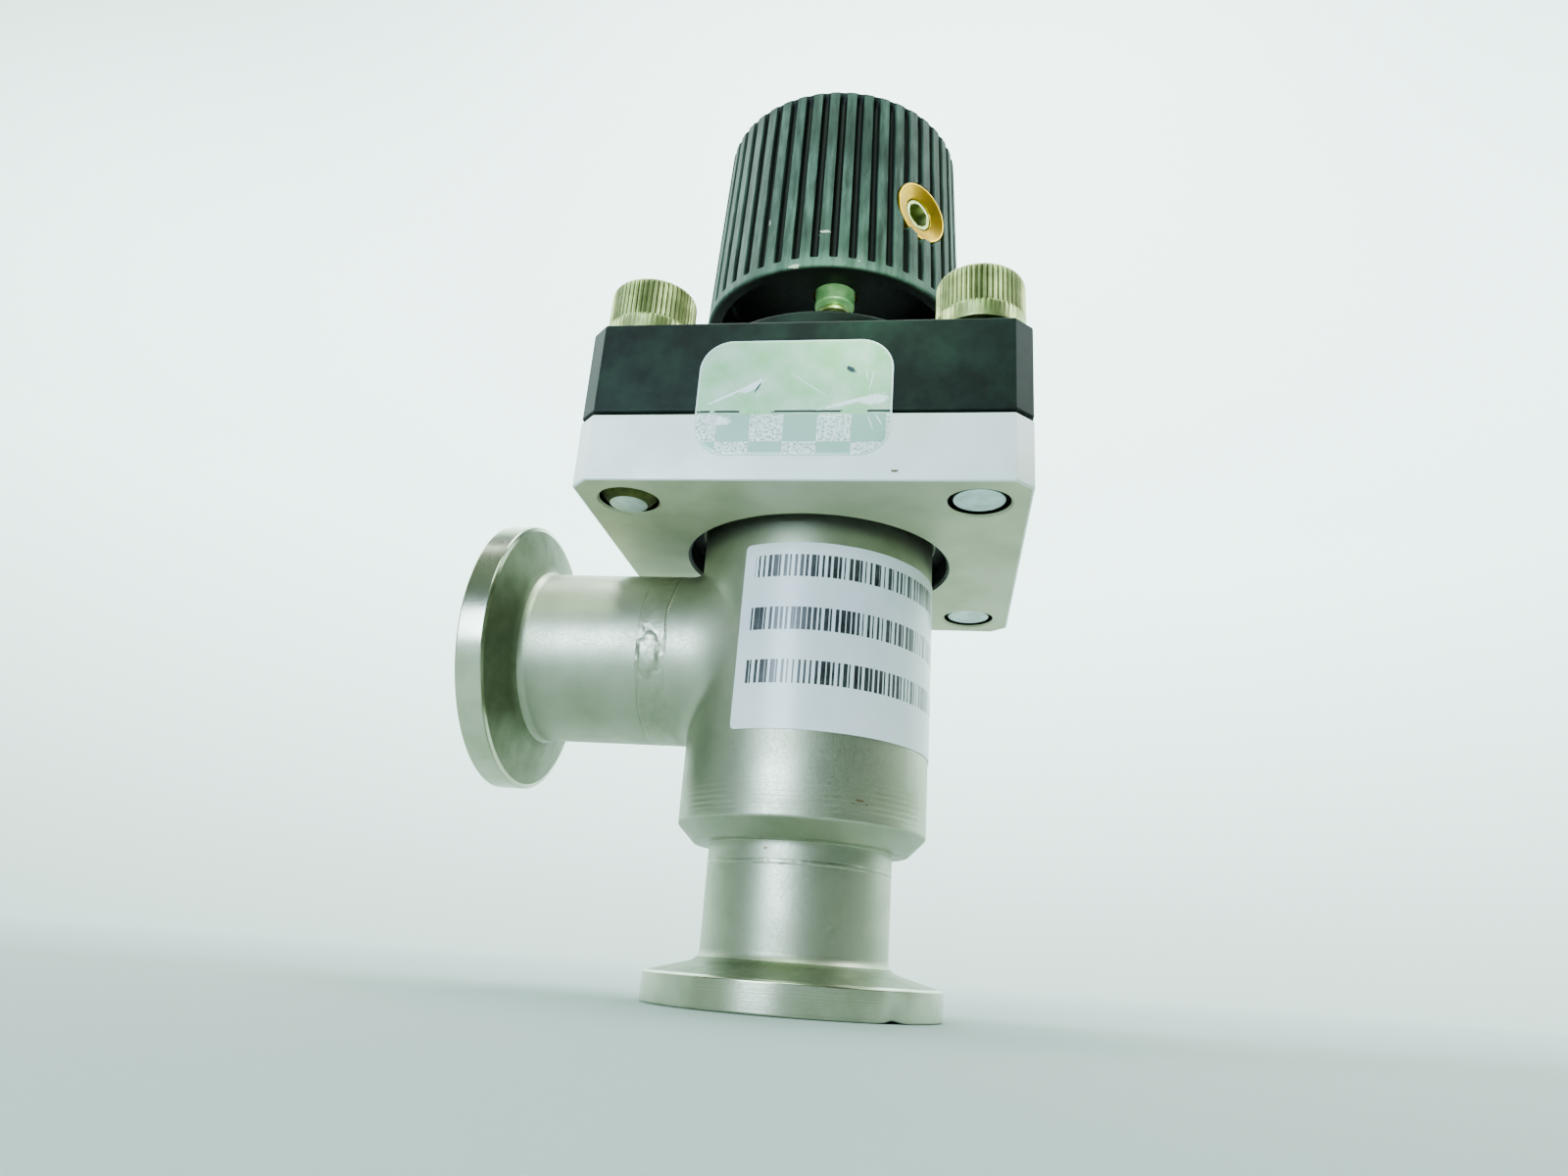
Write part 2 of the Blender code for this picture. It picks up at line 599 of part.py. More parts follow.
def make_poppet(parent, steel, rubber):
    """Disc with its sealing ring, retainer and screw, and the shaft that lifts them."""
    groove_inner = SEAT_MIDDLE - POPPET_GROOVE_WIDTH / 2
    groove_outer = SEAT_MIDDLE + POPPET_GROOVE_WIDTH / 2
    ring_top = RING_BOTTOM + POPPET_RING_HEIGHT
    screw_hole = POPPET_SCREW_RADIUS + FIT
    disc = [
        (screw_hole, POPPET_FACE),
        (groove_inner, POPPET_FACE),
        (groove_inner, ring_top),
        (groove_outer, ring_top),
        (groove_outer, POPPET_FACE),
        (POPPET_RADIUS - POPPET_EDGE, POPPET_FACE),
        (POPPET_RADIUS, POPPET_FACE + POPPET_EDGE),
        (POPPET_RADIUS, POPPET_BACK),
        (screw_hole, POPPET_BACK),
    ]
    turned("poppet_disc", disc, RING_SEGMENTS, parent, steel)
    make_seal_ring("poppet_o_ring", SEAT_MIDDLE, POPPET_RING_WIDTH, RING_BOTTOM, POPPET_RING_HEIGHT,
                   parent, rubber)

    rim = groove_inner - 0.05 * MM
    low = POPPET_FACE - RETAINER_THICKNESS
    retainer = [
        (screw_hole, low),
        (rim - RETAINER_THICKNESS / 2, low),
        (rim, low + RETAINER_THICKNESS / 2),
        (rim, POPPET_FACE),
        (screw_hole, POPPET_FACE),
    ]
    turned("poppet_retainer", retainer, RING_SEGMENTS, parent, steel)

    head_low = low - POPPET_SCREW_HEAD_HEIGHT
    screw_top = POPPET_BACK + POPPET_SCREW_GRIP
    screw_profile = [
        (0.0, head_low),
        (POPPET_SCREW_HEAD_RADIUS - POPPET_EDGE, head_low),
        (POPPET_SCREW_HEAD_RADIUS, head_low + POPPET_EDGE),
        (POPPET_SCREW_HEAD_RADIUS, low),
        (POPPET_SCREW_RADIUS, low),
        (POPPET_SCREW_RADIUS, screw_top),
        (0.0, screw_top),
    ]
    screw = turned("poppet_screw", screw_profile, FINE_SEGMENTS, parent, steel)
    socket = prism("poppet_screw_socket", hexagon(POPPET_SCREW_SOCKET_FLATS),
                   head_low - 1.0 * MM, head_low + POPPET_SCREW_SOCKET_DEPTH, parent)
    combine(screw, socket, "DIFFERENCE")

    cap_radius = BELLOWS_OUTER_RADIUS
    shaft_profile = [
        (0.0, screw_top + FIT),
        (screw_hole, screw_top + FIT),
        (screw_hole, POPPET_BACK),
        (cap_radius, POPPET_BACK),
        (cap_radius, SHAFT_SHOULDER),
        (SHAFT_RADIUS, SHAFT_SHOULDER),
        (SHAFT_RADIUS, SHAFT_TOP),
        (0.0, SHAFT_TOP),
    ]
    shaft = turned("poppet_shaft", shaft_profile, FINE_SEGMENTS, parent, steel)
    slot_bottom = SHAFT_TOP - STEM_HEAD_DEPTH - STEM_HEAD_HEIGHT - FIT
    slot_step = SHAFT_TOP - STEM_HEAD_DEPTH + FIT
    for name, radius, bottom, top in [
        ("shaft_head_slot", STEM_HEAD_RADIUS, slot_bottom, slot_step),
        ("shaft_neck_slot", STEM_HEAD_NECK, slot_bottom, SHAFT_TOP + 1.0 * MM),
    ]:
        half = radius + FIT
        end = SHAFT_RADIUS + 1.0 * MM
        outline = [(-half, -half), (end, -half), (end, half), (-half, half)]
        combine(shaft, prism(name, outline, bottom, top, parent), "DIFFERENCE")


def make_thrust_washer(parent, bronze):
    """Washer between the turning stem and the shaft."""
    bore = STEM_HEAD_RADIUS + FIT
    profile = [
        (bore, SHAFT_TOP),
        (SHAFT_RADIUS, SHAFT_TOP),
        (SHAFT_RADIUS, STEM_SHOULDER),
        (bore, STEM_SHOULDER),
    ]
    turned("thrust_washer", profile, FINE_SEGMENTS, parent, bronze)


def make_stem(parent, steel):
    """Stem with a button head at its foot, a long thread, a neck and the collar that the knob grips."""
    collar_low = KNOB_CEILING - STEM_COLLAR_DROP
    thread_top = collar_low - STEM_NECK_LENGTH
    grip_top = INSERT_BOTTOM + STEM_GRIP
    head_top = SHAFT_TOP - STEM_HEAD_DEPTH
    edge = 0.3 * MM
    profile = [
        (0.0, head_top - STEM_HEAD_HEIGHT),
        (STEM_HEAD_RADIUS, head_top - STEM_HEAD_HEIGHT),
        (STEM_HEAD_RADIUS, head_top),
        (STEM_HEAD_NECK, head_top),
        (STEM_HEAD_NECK, STEM_SHOULDER),
        (THREAD_RADIUS + FIT, STEM_SHOULDER),
        (THREAD_RADIUS, STEM_SHOULDER + edge),
        (THREAD_RADIUS, thread_top - edge),
        (STEM_NECK_RADIUS, thread_top),
        (STEM_NECK_RADIUS, collar_low),
        (STEM_COLLAR_RADIUS - edge, collar_low),
        (STEM_COLLAR_RADIUS, collar_low + edge),
        (STEM_COLLAR_RADIUS, grip_top),
        (0.0, grip_top),
    ]
    return turned("stem", profile, FINE_SEGMENTS, parent, steel)


def make_bushing(parent, bronze):
    """Threaded bushing that drives the stem, held by its flange under the bonnet."""
    bore = THREAD_RADIUS + FIT
    flange = BONNET_CAVITY_RADIUS - FIT
    low = BUSHING_LOW
    top = BOSS_TOP + BUSHING_PROUD
    profile = [
        (bore, low),
        (flange, low),
        (flange, BONNET_CAVITY_TOP),
        (BUSHING_RADIUS, BONNET_CAVITY_TOP),
        (BUSHING_RADIUS, top),
        (bore, top),
    ]
    return turned("stem_bushing", profile, SMALL_SEGMENTS, parent, bronze)


def knob_radius(height):
    """Outer radius of the knob's ribs at a height above its lower edge."""
    return KNOB_BOTTOM_RADIUS + (KNOB_TOP_RADIUS - KNOB_BOTTOM_RADIUS) * height / KNOB_HEIGHT


def fluted_loop(height, radius, depth):
    """One closed loop around the knob: a flat rib and a V-shaped groove for each flute."""
    pitch = 2 * math.pi / FLUTE_COUNT
    half_groove = pitch * FLUTE_SHARE / 2
    points = []
    for flute in range(FLUTE_COUNT):
        middle = FLUTE_PHASE + flute * pitch - math.pi / 2
        for turn, inset in [(-half_groove, 0.0), (0.0, depth), (half_groove, 0.0)]:
            reach = radius - inset
            angle = middle + turn
            points.append((reach * math.cos(angle), reach * math.sin(angle), KNOB_BOTTOM + height))
    return points


def make_knob(parent, phenolic):
    """Fluted, slightly tapered knob with a plain lip, hollow below and solid above."""
    groove_start = KNOB_LIP + FLUTE_RUNOUT
    stations = [
        (0.0, 0.0),
        (KNOB_LIP, 0.0),
        (groove_start, FLUTE_DEPTH),
        (KNOB_HEIGHT, FLUTE_DEPTH),
    ]
    loops = [fluted_loop(height, knob_radius(height), depth) for height, depth in stations]
    knob = loft("knob", loops, parent, phenolic)
    over = 1.0 * MM
    mouth = KNOB_BOTTOM_RADIUS - KNOB_WALL
    eye = STEM_COLLAR_RADIUS + FIT
    hollow = [
        (0.0, KNOB_BOTTOM - over),
        (mouth, KNOB_BOTTOM - over),
        (mouth - 0.2 * MM, KNOB_CEILING),
        (eye, KNOB_CEILING),
        (eye, INSERT_BOTTOM + over),
        (0.0, INSERT_BOTTOM + over),
    ]
    combine(knob, turned("knob_hollow_cutter", hollow, PORT_SEGMENTS, parent), "DIFFERENCE")
    for cutter in insert_solids("pocket", MOULDED_FIT, KNOB_BOTTOM_RADIUS + over, parent):
        combine(knob, cutter, "DIFFERENCE")
    return knob


def toward_set_screw(reach):
    """Matrix that lays a turned piece along the set screw's axis, its z = 0 at a reach from the stem."""
    return (
        Matrix.Rotation(INSERT_ANGLE - math.pi / 2, 4, "Z")
        @ Matrix.Translation((reach, 0.0, INSERT_BOSS_Z))
        @ Matrix.Rotation(math.pi / 2, 4, "Y")
    )


def insert_solids(prefix, grow, reach, parent, material=None):
    """Hub and side boss of the brass insert, made larger all round by a clearance."""
    low = INSERT_BOTTOM - grow
    high = INSERT_BOTTOM + INSERT_HUB_HEIGHT + grow
    radius = INSERT_HUB_RADIUS + grow
    hub = [(0.0, low), (radius, low), (radius, high), (0.0, high)]
    side = INSERT_BOSS_RADIUS + grow
    boss = [(0.0, 0.0), (side, 0.0), (side, reach), (0.0, reach)]
    return [
        turned(f"{prefix}_hub", hub, RING_SEGMENTS, parent, material),
        turned(f"{prefix}_boss", boss, RING_SEGMENTS, parent, material, toward_set_screw(0.0)),
    ]


def make_knob_insert(parent, brass):
    """Brass insert moulded into the knob: a bored hub with a side boss for the set screw."""
    hub, boss = insert_solids("knob_insert", 0.0, INSERT_BOSS_REACH, parent, brass)
    hub.name = "knob_insert"
    boss.name = "insert_boss_guide"
    combine(hub, boss, "UNION")
    over = 1.0 * MM
    bore = STEM_COLLAR_RADIUS + FIT
    bore_top = INSERT_BOTTOM + STEM_GRIP + FIT
    stem_bore = [(0.0, INSERT_BOTTOM - over), (bore, INSERT_BOTTOM - over), (bore, bore_top), (0.0, bore_top)]
    combine(hub, turned("insert_stem_bore", stem_bore, SMALL_SEGMENTS, parent), "DIFFERENCE")
    thread = SET_SCREW_RADIUS + FIT
    mouth = thread + INSERT_BEVEL
    screw_bore = [
        (0.0, 0.0),
        (thread, 0.0),
        (thread, INSERT_BOSS_REACH - INSERT_BEVEL),
        (mouth + over, INSERT_BOSS_REACH + over),
        (0.0, INSERT_BOSS_REACH + over),
    ]
    combine(hub, turned("insert_screw_bore", screw_bore, SMALL_SEGMENTS, parent, place=toward_set_screw(0.0)),
            "DIFFERENCE")
    return hub


def make_set_screw(parent, steel):
    """Socket set screw that locks the insert on the stem's collar."""
    start = STEM_COLLAR_RADIUS + FIT
    length = INSERT_BOSS_REACH - SET_SCREW_RECESS - start
    edge = 0.4 * MM
    profile = [
        (0.0, 0.0),
        (SET_SCREW_RADIUS / 2, 0.0),
        (SET_SCREW_RADIUS, SET_SCREW_RADIUS / 2),
        (SET_SCREW_RADIUS, length - edge),
        (SET_SCREW_RADIUS - edge, length),
        (0.0, length),
    ]
    place = toward_set_screw(start)
    screw = turned("set_screw", profile, SMALL_SEGMENTS, parent, steel, place)
    socket = prism("set_screw_socket", hexagon(SET_SCREW_SOCKET_FLATS),
                   length - SET_SCREW_SOCKET_DEPTH, length + 1.0 * MM, parent, place=place)
    combine(screw, socket, "DIFFERENCE")
    return screw


def make_body_label(parent, paper):
    """White label wrapped around the body, facet on facet."""
    pitch = 2 * math.pi / BODY_SEGMENTS
    low = BODY_BOTTOM + BODY_LABEL_CENTRE_SHARE * BODY_LENGTH - BODY_LABEL_HEIGHT / 2
    high = low + BODY_LABEL_HEIGHT
    build = bmesh.new()
    edges = []
    for step in range(BODY_LABEL_FACETS + 1):
        angle = (BODY_LABEL_FIRST_FACET + step) * pitch - math.pi / 2
        direction = Vector((math.cos(angle), math.sin(angle), 0.0))
        section = [
            direction * BODY_RADIUS + Vector((0, 0, low)),
            direction * (BODY_RADIUS + LABEL_THICKNESS) + Vector((0, 0, low)),
            direction * (BODY_RADIUS + LABEL_THICKNESS) + Vector((0, 0, high)),
            direction * BODY_RADIUS + Vector((0, 0, high)),
        ]
        edges.append([build.verts.new(point) for point in section])
    for before, after in zip(edges, edges[1:]):
        for corner in range(4):
            following = (corner + 1) % 4
            build.faces.new((before[corner], before[following], after[following], after[corner]))
    build.faces.new(edges[0])
    build.faces.new(edges[-1])
    return finish_mesh("body_label", build, parent, paper)


def make_seal_label(parent, foil):
    """Silver label stuck across the joint between the clamp plate and the bonnet."""
    outline = rounded_rectangle(SEAL_LABEL_WIDTH, SEAL_LABEL_HEIGHT, SEAL_LABEL_CORNER, 4)
    place = (
        Matrix.Translation((SEAL_LABEL_SHIFT, -PLATE_HALF, BONNET_BOTTOM + SEAL_LABEL_RISE))
        @ Matrix.Rotation(math.pi / 2, 4, "X")
    )
    return prism("seal_label", outline, 0.0, LABEL_THICKNESS, parent, foil, place)


def make_empty(name, parent, location):
    """Empty that carries the pieces of one moving group."""
    empty = bpy.data.objects.new(name, None)
    empty.empty_display_size = 0.02
    empty.parent = parent
    empty.location = location
    bpy.context.collection.objects.link(empty)
    return empty


def main():
    """Clear the scene and build the valve group by group."""
    for item in list(bpy.data.objects):
        bpy.data.objects.remove(item, do_unlink=True)

    stainless = make_material("stainless_steel", (0.60, 0.59, 0.55), 1.0, 0.32)
    thin_steel = make_material("bellows_steel", (0.62, 0.62, 0.60), 1.0, 0.22)
    fastener = make_material("fastener_steel", (0.55, 0.53, 0.46), 1.0, 0.35)
    aluminium = make_material("satin_aluminium", (0.78, 0.79, 0.80), 1.0, 0.42)
    anodised = make_material("black_anodised", (0.02, 0.022, 0.02), 0.6, 0.38)
    phenolic = make_material("black_phenolic", (0.055, 0.06, 0.06), 0.0, 0.5)
    brass = make_material("brass", (0.78, 0.57, 0.22), 1.0, 0.28)
    bronze = make_material("bronze", (0.58, 0.42, 0.22), 1.0, 0.35)
    rubber = make_material("seal_rubber", (0.015, 0.015, 0.015), 0.0, 0.55)
    paper = make_material("label_paper", (0.86, 0.87, 0.88), 0.0, 0.45)
    foil = make_material("label_foil", (0.72, 0.74, 0.74), 0.7, 0.32)

    valve = make_empty("valve_axis", None, (AXIS_X, 0.0, 0.0))
    poppet_lift = make_empty("poppet_lift", valve, (0.0, 0.0, 0.0))
    knob_turn = make_empty("knob_turn", poppet_lift, (0.0, 0.0, 0.0))

    make_ports(valve, stainless)
    make_valve_body(valve, stainless)
    make_clamp_plate(valve, aluminium)
    make_bonnet_seal(valve, stainless, rubber)
    make_bellows(valve, thin_steel)
    make_bonnet(valve, anodised)
    make_bushing(valve, bronze)
    make_cap_screws(valve, fastener)
    make_body_label(valve, paper)
    make_seal_label(valve, foil)

    make_poppet(poppet_lift, stainless, rubber)
    make_thrust_washer(poppet_lift, bronze)

    make_stem(knob_turn, fastener)
    make_knob(knob_turn, phenolic)
    make_knob_insert(knob_turn, brass)
    make_set_screw(knob_turn, fastener)


main()
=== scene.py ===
"""Looks of a right-angle manual vacuum valve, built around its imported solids.

Shapes are worked out in millimetres around the valve's own axis, +Z along the stem, and are put into the
row frame in metres when their mesh is made. Each sub-assembly is a class that holds its sizes, each
finish is a frozen dataclass, and main() builds them in order.
"""

import logging
import math
from collections.abc import Callable, Sequence
from dataclasses import dataclass
from enum import Enum
from functools import partial, reduce

import bmesh
import bpy
import numpy as np
from mathutils import Matrix, Vector
from mathutils.geometry import tessellate_polygon

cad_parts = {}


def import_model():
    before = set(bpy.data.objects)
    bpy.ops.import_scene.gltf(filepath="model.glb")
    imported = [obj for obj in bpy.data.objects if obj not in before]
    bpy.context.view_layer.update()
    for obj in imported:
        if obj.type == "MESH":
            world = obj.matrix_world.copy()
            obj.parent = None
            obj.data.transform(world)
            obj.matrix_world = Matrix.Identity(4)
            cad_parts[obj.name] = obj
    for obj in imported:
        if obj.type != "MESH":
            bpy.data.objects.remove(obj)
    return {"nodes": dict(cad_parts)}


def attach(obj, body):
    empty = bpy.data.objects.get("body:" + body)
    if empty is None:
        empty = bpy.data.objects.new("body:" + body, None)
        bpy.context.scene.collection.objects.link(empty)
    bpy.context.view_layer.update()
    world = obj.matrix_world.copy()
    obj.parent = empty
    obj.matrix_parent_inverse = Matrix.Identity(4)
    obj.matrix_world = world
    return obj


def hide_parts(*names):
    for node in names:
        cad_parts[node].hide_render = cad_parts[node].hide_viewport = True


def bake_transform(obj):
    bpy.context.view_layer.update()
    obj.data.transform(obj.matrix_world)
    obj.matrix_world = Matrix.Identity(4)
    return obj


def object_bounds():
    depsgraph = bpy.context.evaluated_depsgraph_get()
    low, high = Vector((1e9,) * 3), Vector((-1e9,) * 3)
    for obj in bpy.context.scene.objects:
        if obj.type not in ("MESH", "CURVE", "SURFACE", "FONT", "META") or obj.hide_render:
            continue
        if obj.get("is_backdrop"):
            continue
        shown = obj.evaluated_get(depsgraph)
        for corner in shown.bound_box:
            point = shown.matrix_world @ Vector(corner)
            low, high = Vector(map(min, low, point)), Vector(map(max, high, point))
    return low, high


logger = logging.getLogger("valve")

# One millimetre in metres.
MM = 0.001
# Places on the valve in millimetres: its axis, the side port and its face, the knob insert.
AXIS_X = 6.15
BRANCH_Z = 35.6
SIDE_REACH = 34.8
INSERT_Z = 88.3
# Height of the gap between the plates above the silver label's centre.
JOINT_ON_LABEL = -1.65
TURN = 2.0 * math.pi
# A corner's arc takes at most this share of the shorter side, and its support points lie this far off.
ARC_SHARE = 0.45
ARC_SUPPORT = 0.05
# Setting of a Mix node that mixes colours: inputs 0 share, 6 below, 7 above, output 2.
RGBA = {"data_type": "RGBA"}

Socket = bpy.types.NodeSocket
Adder = Callable[..., Socket]
Dressing = dict[str, Socket | float]
Piece = bpy.types.Object
PointsTo = Callable[[np.ndarray], np.ndarray]


class Body(Enum):
    """The CAD bodies that pieces ride on."""

    HOUSING = "housing"
    POPPET = "poppet_assembly"
    KNOB = "knob_assembly"


class Slot(Enum):
    """The record's material slots."""

    STAINLESS = "stainless"
    BELLOWS = "bellows_steel"
    FASTENER = "fastener_steel"
    ALUMINIUM = "aluminium"
    ANODISED = "anodised"
    PHENOLIC = "phenolic"
    BRASS = "brass"
    BRONZE = "bronze"
    RUBBER = "seal_rubber"
    PAPER = "label_paper"
    FOIL = "label_foil"


# Finishes


def linear(hex_colour: str) -> tuple[float, float, float, float]:
    """Turn an sRGB hex colour into linear red, green, blue and a full alpha.

    Args:
        hex_colour: six hex digits, two for each of red, green and blue.

    Returns:
        The colour as four linear numbers.
    """
    parts = [int(hex_colour[start:start + 2], 16) / 255.0 for start in (0, 2, 4)]
    red, green, blue = [c / 12.92 if c <= 0.04045 else ((c + 0.055) / 1.055) ** 2.4 for c in parts]
    return (red, green, blue, 1.0)


def add_node(tree: bpy.types.ShaderNodeTree, kind: str, settings: dict | None = None,
             links: dict | None = None, output: int | str = 0) -> Socket:
    """Add one node with its settings and links.

    Args:
        tree: the material's node tree.
        kind: the node's type name after "ShaderNode".
        settings: values for the node's own properties or, by name or number, for its inputs.
        links: for an input's name or number, the output that feeds it.
        output: name or number of the output that is wanted.

    Returns:
        That output of the new node.
    """
    node = tree.nodes.new(f"ShaderNode{kind}")
    for name, value in (settings or {}).items():
        if isinstance(name, int) or name in node.inputs:
            node.inputs[name].default_value = value
        else:
            setattr(node, name, value)
    for name, source in (links or {}).items():
        tree.links.new(source, node.inputs[name])
    return node.outputs[output]


def per_metre(size_mm: float) -> float:
    """Scale of a texture on coordinates in metres whose features are this many millimetres apart."""
    return 1000.0 / size_mm


@dataclass(frozen=True)
class Mark:
    """One oval scratch, chip or stain: its middle and half sizes in millimetres, and its turn about Z."""

    middle: tuple[float, float, float]
    half_sizes: tuple[float, float, float]
    turn_degrees: float = 0.0


def around_axis(x: float, y: float, z: float) -> tuple[float, float, float]:
    """A place around the valve's axis, in the row frame's millimetres."""
    return (x + AXIS_X, y, z)


def marked(add: Adder, place: Socket, marks: Sequence[Mark], ragged: Socket) -> Socket:
    """Mask of a list of marks: 1 inside an oval whose edge is made ragged by a noise, else 0.

    Args:
        add: adds a node to the material.
        place: coordinates in metres.
        marks: the ovals.
        ragged: noise from 0 to 1 that eats into their edges.

    Returns:
        The mask.
    """
    limit = add("MapRange", {"From Min": 0.3, "From Max": 0.7, "To Min": 1.25, "To Max": 0.55},
                {"Value": ragged})
    masks = []
    for mark in marks:
        local = add("Mapping", {"vector_type": "TEXTURE", "Location": [c * MM for c in mark.middle],
                                "Rotation": (0.0, 0.0, math.radians(mark.turn_degrees)),
                                "Scale": [c * MM for c in mark.half_sizes]}, {"Vector": place})
        away = add("VectorMath", {"operation": "LENGTH"}, {0: local}, "Value")
        masks.append(add("Math", {"operation": "LESS_THAN"}, {0: away, 1: limit}))
    return reduce(lambda mask, other: add("Math", {"operation": "MAXIMUM"}, {0: mask, 1: other}), masks)


@dataclass(frozen=True)
class Finish:
    """A named surface finish that makes one shared material."""

    name: str

    def material(self) -> bpy.types.Material:
        """Find the finish's material, or make it when it is first asked for.

        Returns:
            The shared material.
        """
        found = bpy.data.materials.get(self.name)
        if found is not None:
            return found
        material = bpy.data.materials.new(self.name)
        material.use_nodes = True
        tree = material.node_tree
        shader = tree.nodes["Principled BSDF"]
        for name, value in self.dress(partial(add_node, tree)).items():
            if isinstance(value, float):
                shader.inputs[name].default_value = value
            else:
                tree.links.new(value, shader.inputs[name])
        return material

    def dress(self, add: Adder) -> Dressing:
        """What goes into each of the shader's sockets: an even value or a node's output."""
        raise NotImplementedError


@dataclass(frozen=True)
class Metal(Finish):
    """Bare metal: two tones in soft clouds, grit from blasting or wear, and turning marks.

    The grit is larger than the real grit, which would be finer than a pixel. Turning marks follow the
    piece's own "lathe" attribute, its radius and height in metres, so they run round its axis.
    """

    face: str
    cloud: str
    roughness: float
    roughness_spread: float = 0.08
    cloud_mm: float = 5.0
    grit_mm: float = 0.22
    grit_depth_mm: float = 0.006
    mark_mm: float = 0.35
    mark_depth_mm: float = 0.0
    brush_mm: float = 0.0
    brush_depth_mm: float = 0.004
    metallic: float = 1.0
    marks: tuple[Mark, ...] = ()
    mark_colour: str = "5A5240"

    def dress(self, add: Adder) -> Dressing:
        """Clouds feed the colour, clouds and grit the roughness, grit and marks the bump.

        Args:
            add: adds a node to the material.

        Returns:
            What feeds each of the shader's sockets.
        """
        place = add("TexCoord", output="Object")
        clouds = add("TexNoise", {"Scale": per_metre(self.cloud_mm), "Detail": 4.0}, {"Vector": place})
        grit = add("TexNoise", {"Scale": per_metre(self.grit_mm), "Detail": 2.0}, {"Vector": place})
        share = add("MapRange", {"From Min": 0.38, "From Max": 0.66}, {"Value": clouds})
        colour = add("Mix", {**RGBA, 6: linear(self.face), 7: linear(self.cloud)}, {0: share}, 2)
        if self.marks:
            spots = marked(add, place, self.marks, grit)
            colour = add("Mix", {**RGBA, 7: linear(self.mark_colour)}, {0: spots, 6: colour}, 2)
        blend = add("Math", {"operation": "ADD"}, {0: clouds, 1: grit})
        smooth, dull = self.roughness - self.roughness_spread, self.roughness + self.roughness_spread
        rough = add("MapRange", {"From Min": 0.6, "From Max": 1.4, "To Min": smooth, "To Max": dull},
                    {"Value": blend})
        normal = add("Bump", {"Strength": 1.0, "Distance": self.grit_depth_mm * MM}, {"Height": grit})
        if self.mark_depth_mm > 0.0:
            lathe = add("Attribute", {"attribute_name": "lathe"}, output="Vector")
            marks = add("TexNoise", {"Scale": per_metre(self.mark_mm), "Detail": 2.0}, {"Vector": lathe})
            normal = add("Bump", {"Strength": 1.0, "Distance": self.mark_depth_mm * MM},
                         {"Height": marks, "Normal": normal})
        if self.brush_mm > 0.0:
            drawn = add("Mapping", {"Scale": (0.04, 0.04, 1.0)}, {"Vector": place})
            lines = add("TexNoise", {"Scale": per_metre(self.brush_mm), "Detail": 3.0}, {"Vector": drawn})
            normal = add("Bump", {"Strength": 1.0, "Distance": self.brush_depth_mm * MM},
                         {"Height": lines, "Normal": normal})
        return {"Base Color": colour, "Roughness": rough, "Metallic": self.metallic, "Normal": normal}


@dataclass(frozen=True)
class Anodised(Finish):
    """Black anodised aluminium: a thin dark oxide over milled metal, satin, with faint cloudy rub marks."""

    face: str
    rubbed: str
    roughness: float
    rub_mm: float = 7.0
    milling_mm: float = 0.3
    milling_depth_mm: float = 0.004
    gloss: float = 0.16

    def dress(self, add: Adder) -> Dressing:
        """Wide clouds lighten the black where it was handled, and close milling lines run across.

        Args:
            add: adds a node to the material.

        Returns:
            What feeds each of the shader's sockets.
        """
        place = add("TexCoord", output="Object")
        clouds = add("TexNoise", {"Scale": per_metre(self.rub_mm), "Detail": 5.0, "Roughness": 0.6},
                     {"Vector": place})
        share = add("MapRange", {"From Min": 0.42, "From Max": 0.75}, {"Value": clouds})
        colour = add("Mix", {**RGBA, 6: linear(self.face), 7: linear(self.rubbed)}, {0: share}, 2)
        rough = add("MapRange", {"To Min": self.roughness - 0.1, "To Max": self.roughness + 0.12},
                    {"Value": clouds})
        drawn = add("Mapping", {"Scale": (1.0, 1.0, 0.05)}, {"Vector": place})
        lines = add("TexNoise", {"Scale": per_metre(self.milling_mm), "Detail": 2.0}, {"Vector": drawn})
        bump = add("Bump", {"Strength": 1.0, "Distance": self.milling_depth_mm * MM}, {"Height": lines})
        return {"Base Color": colour, "Roughness": rough, "Specular IOR Level": self.gloss, "Normal": bump}


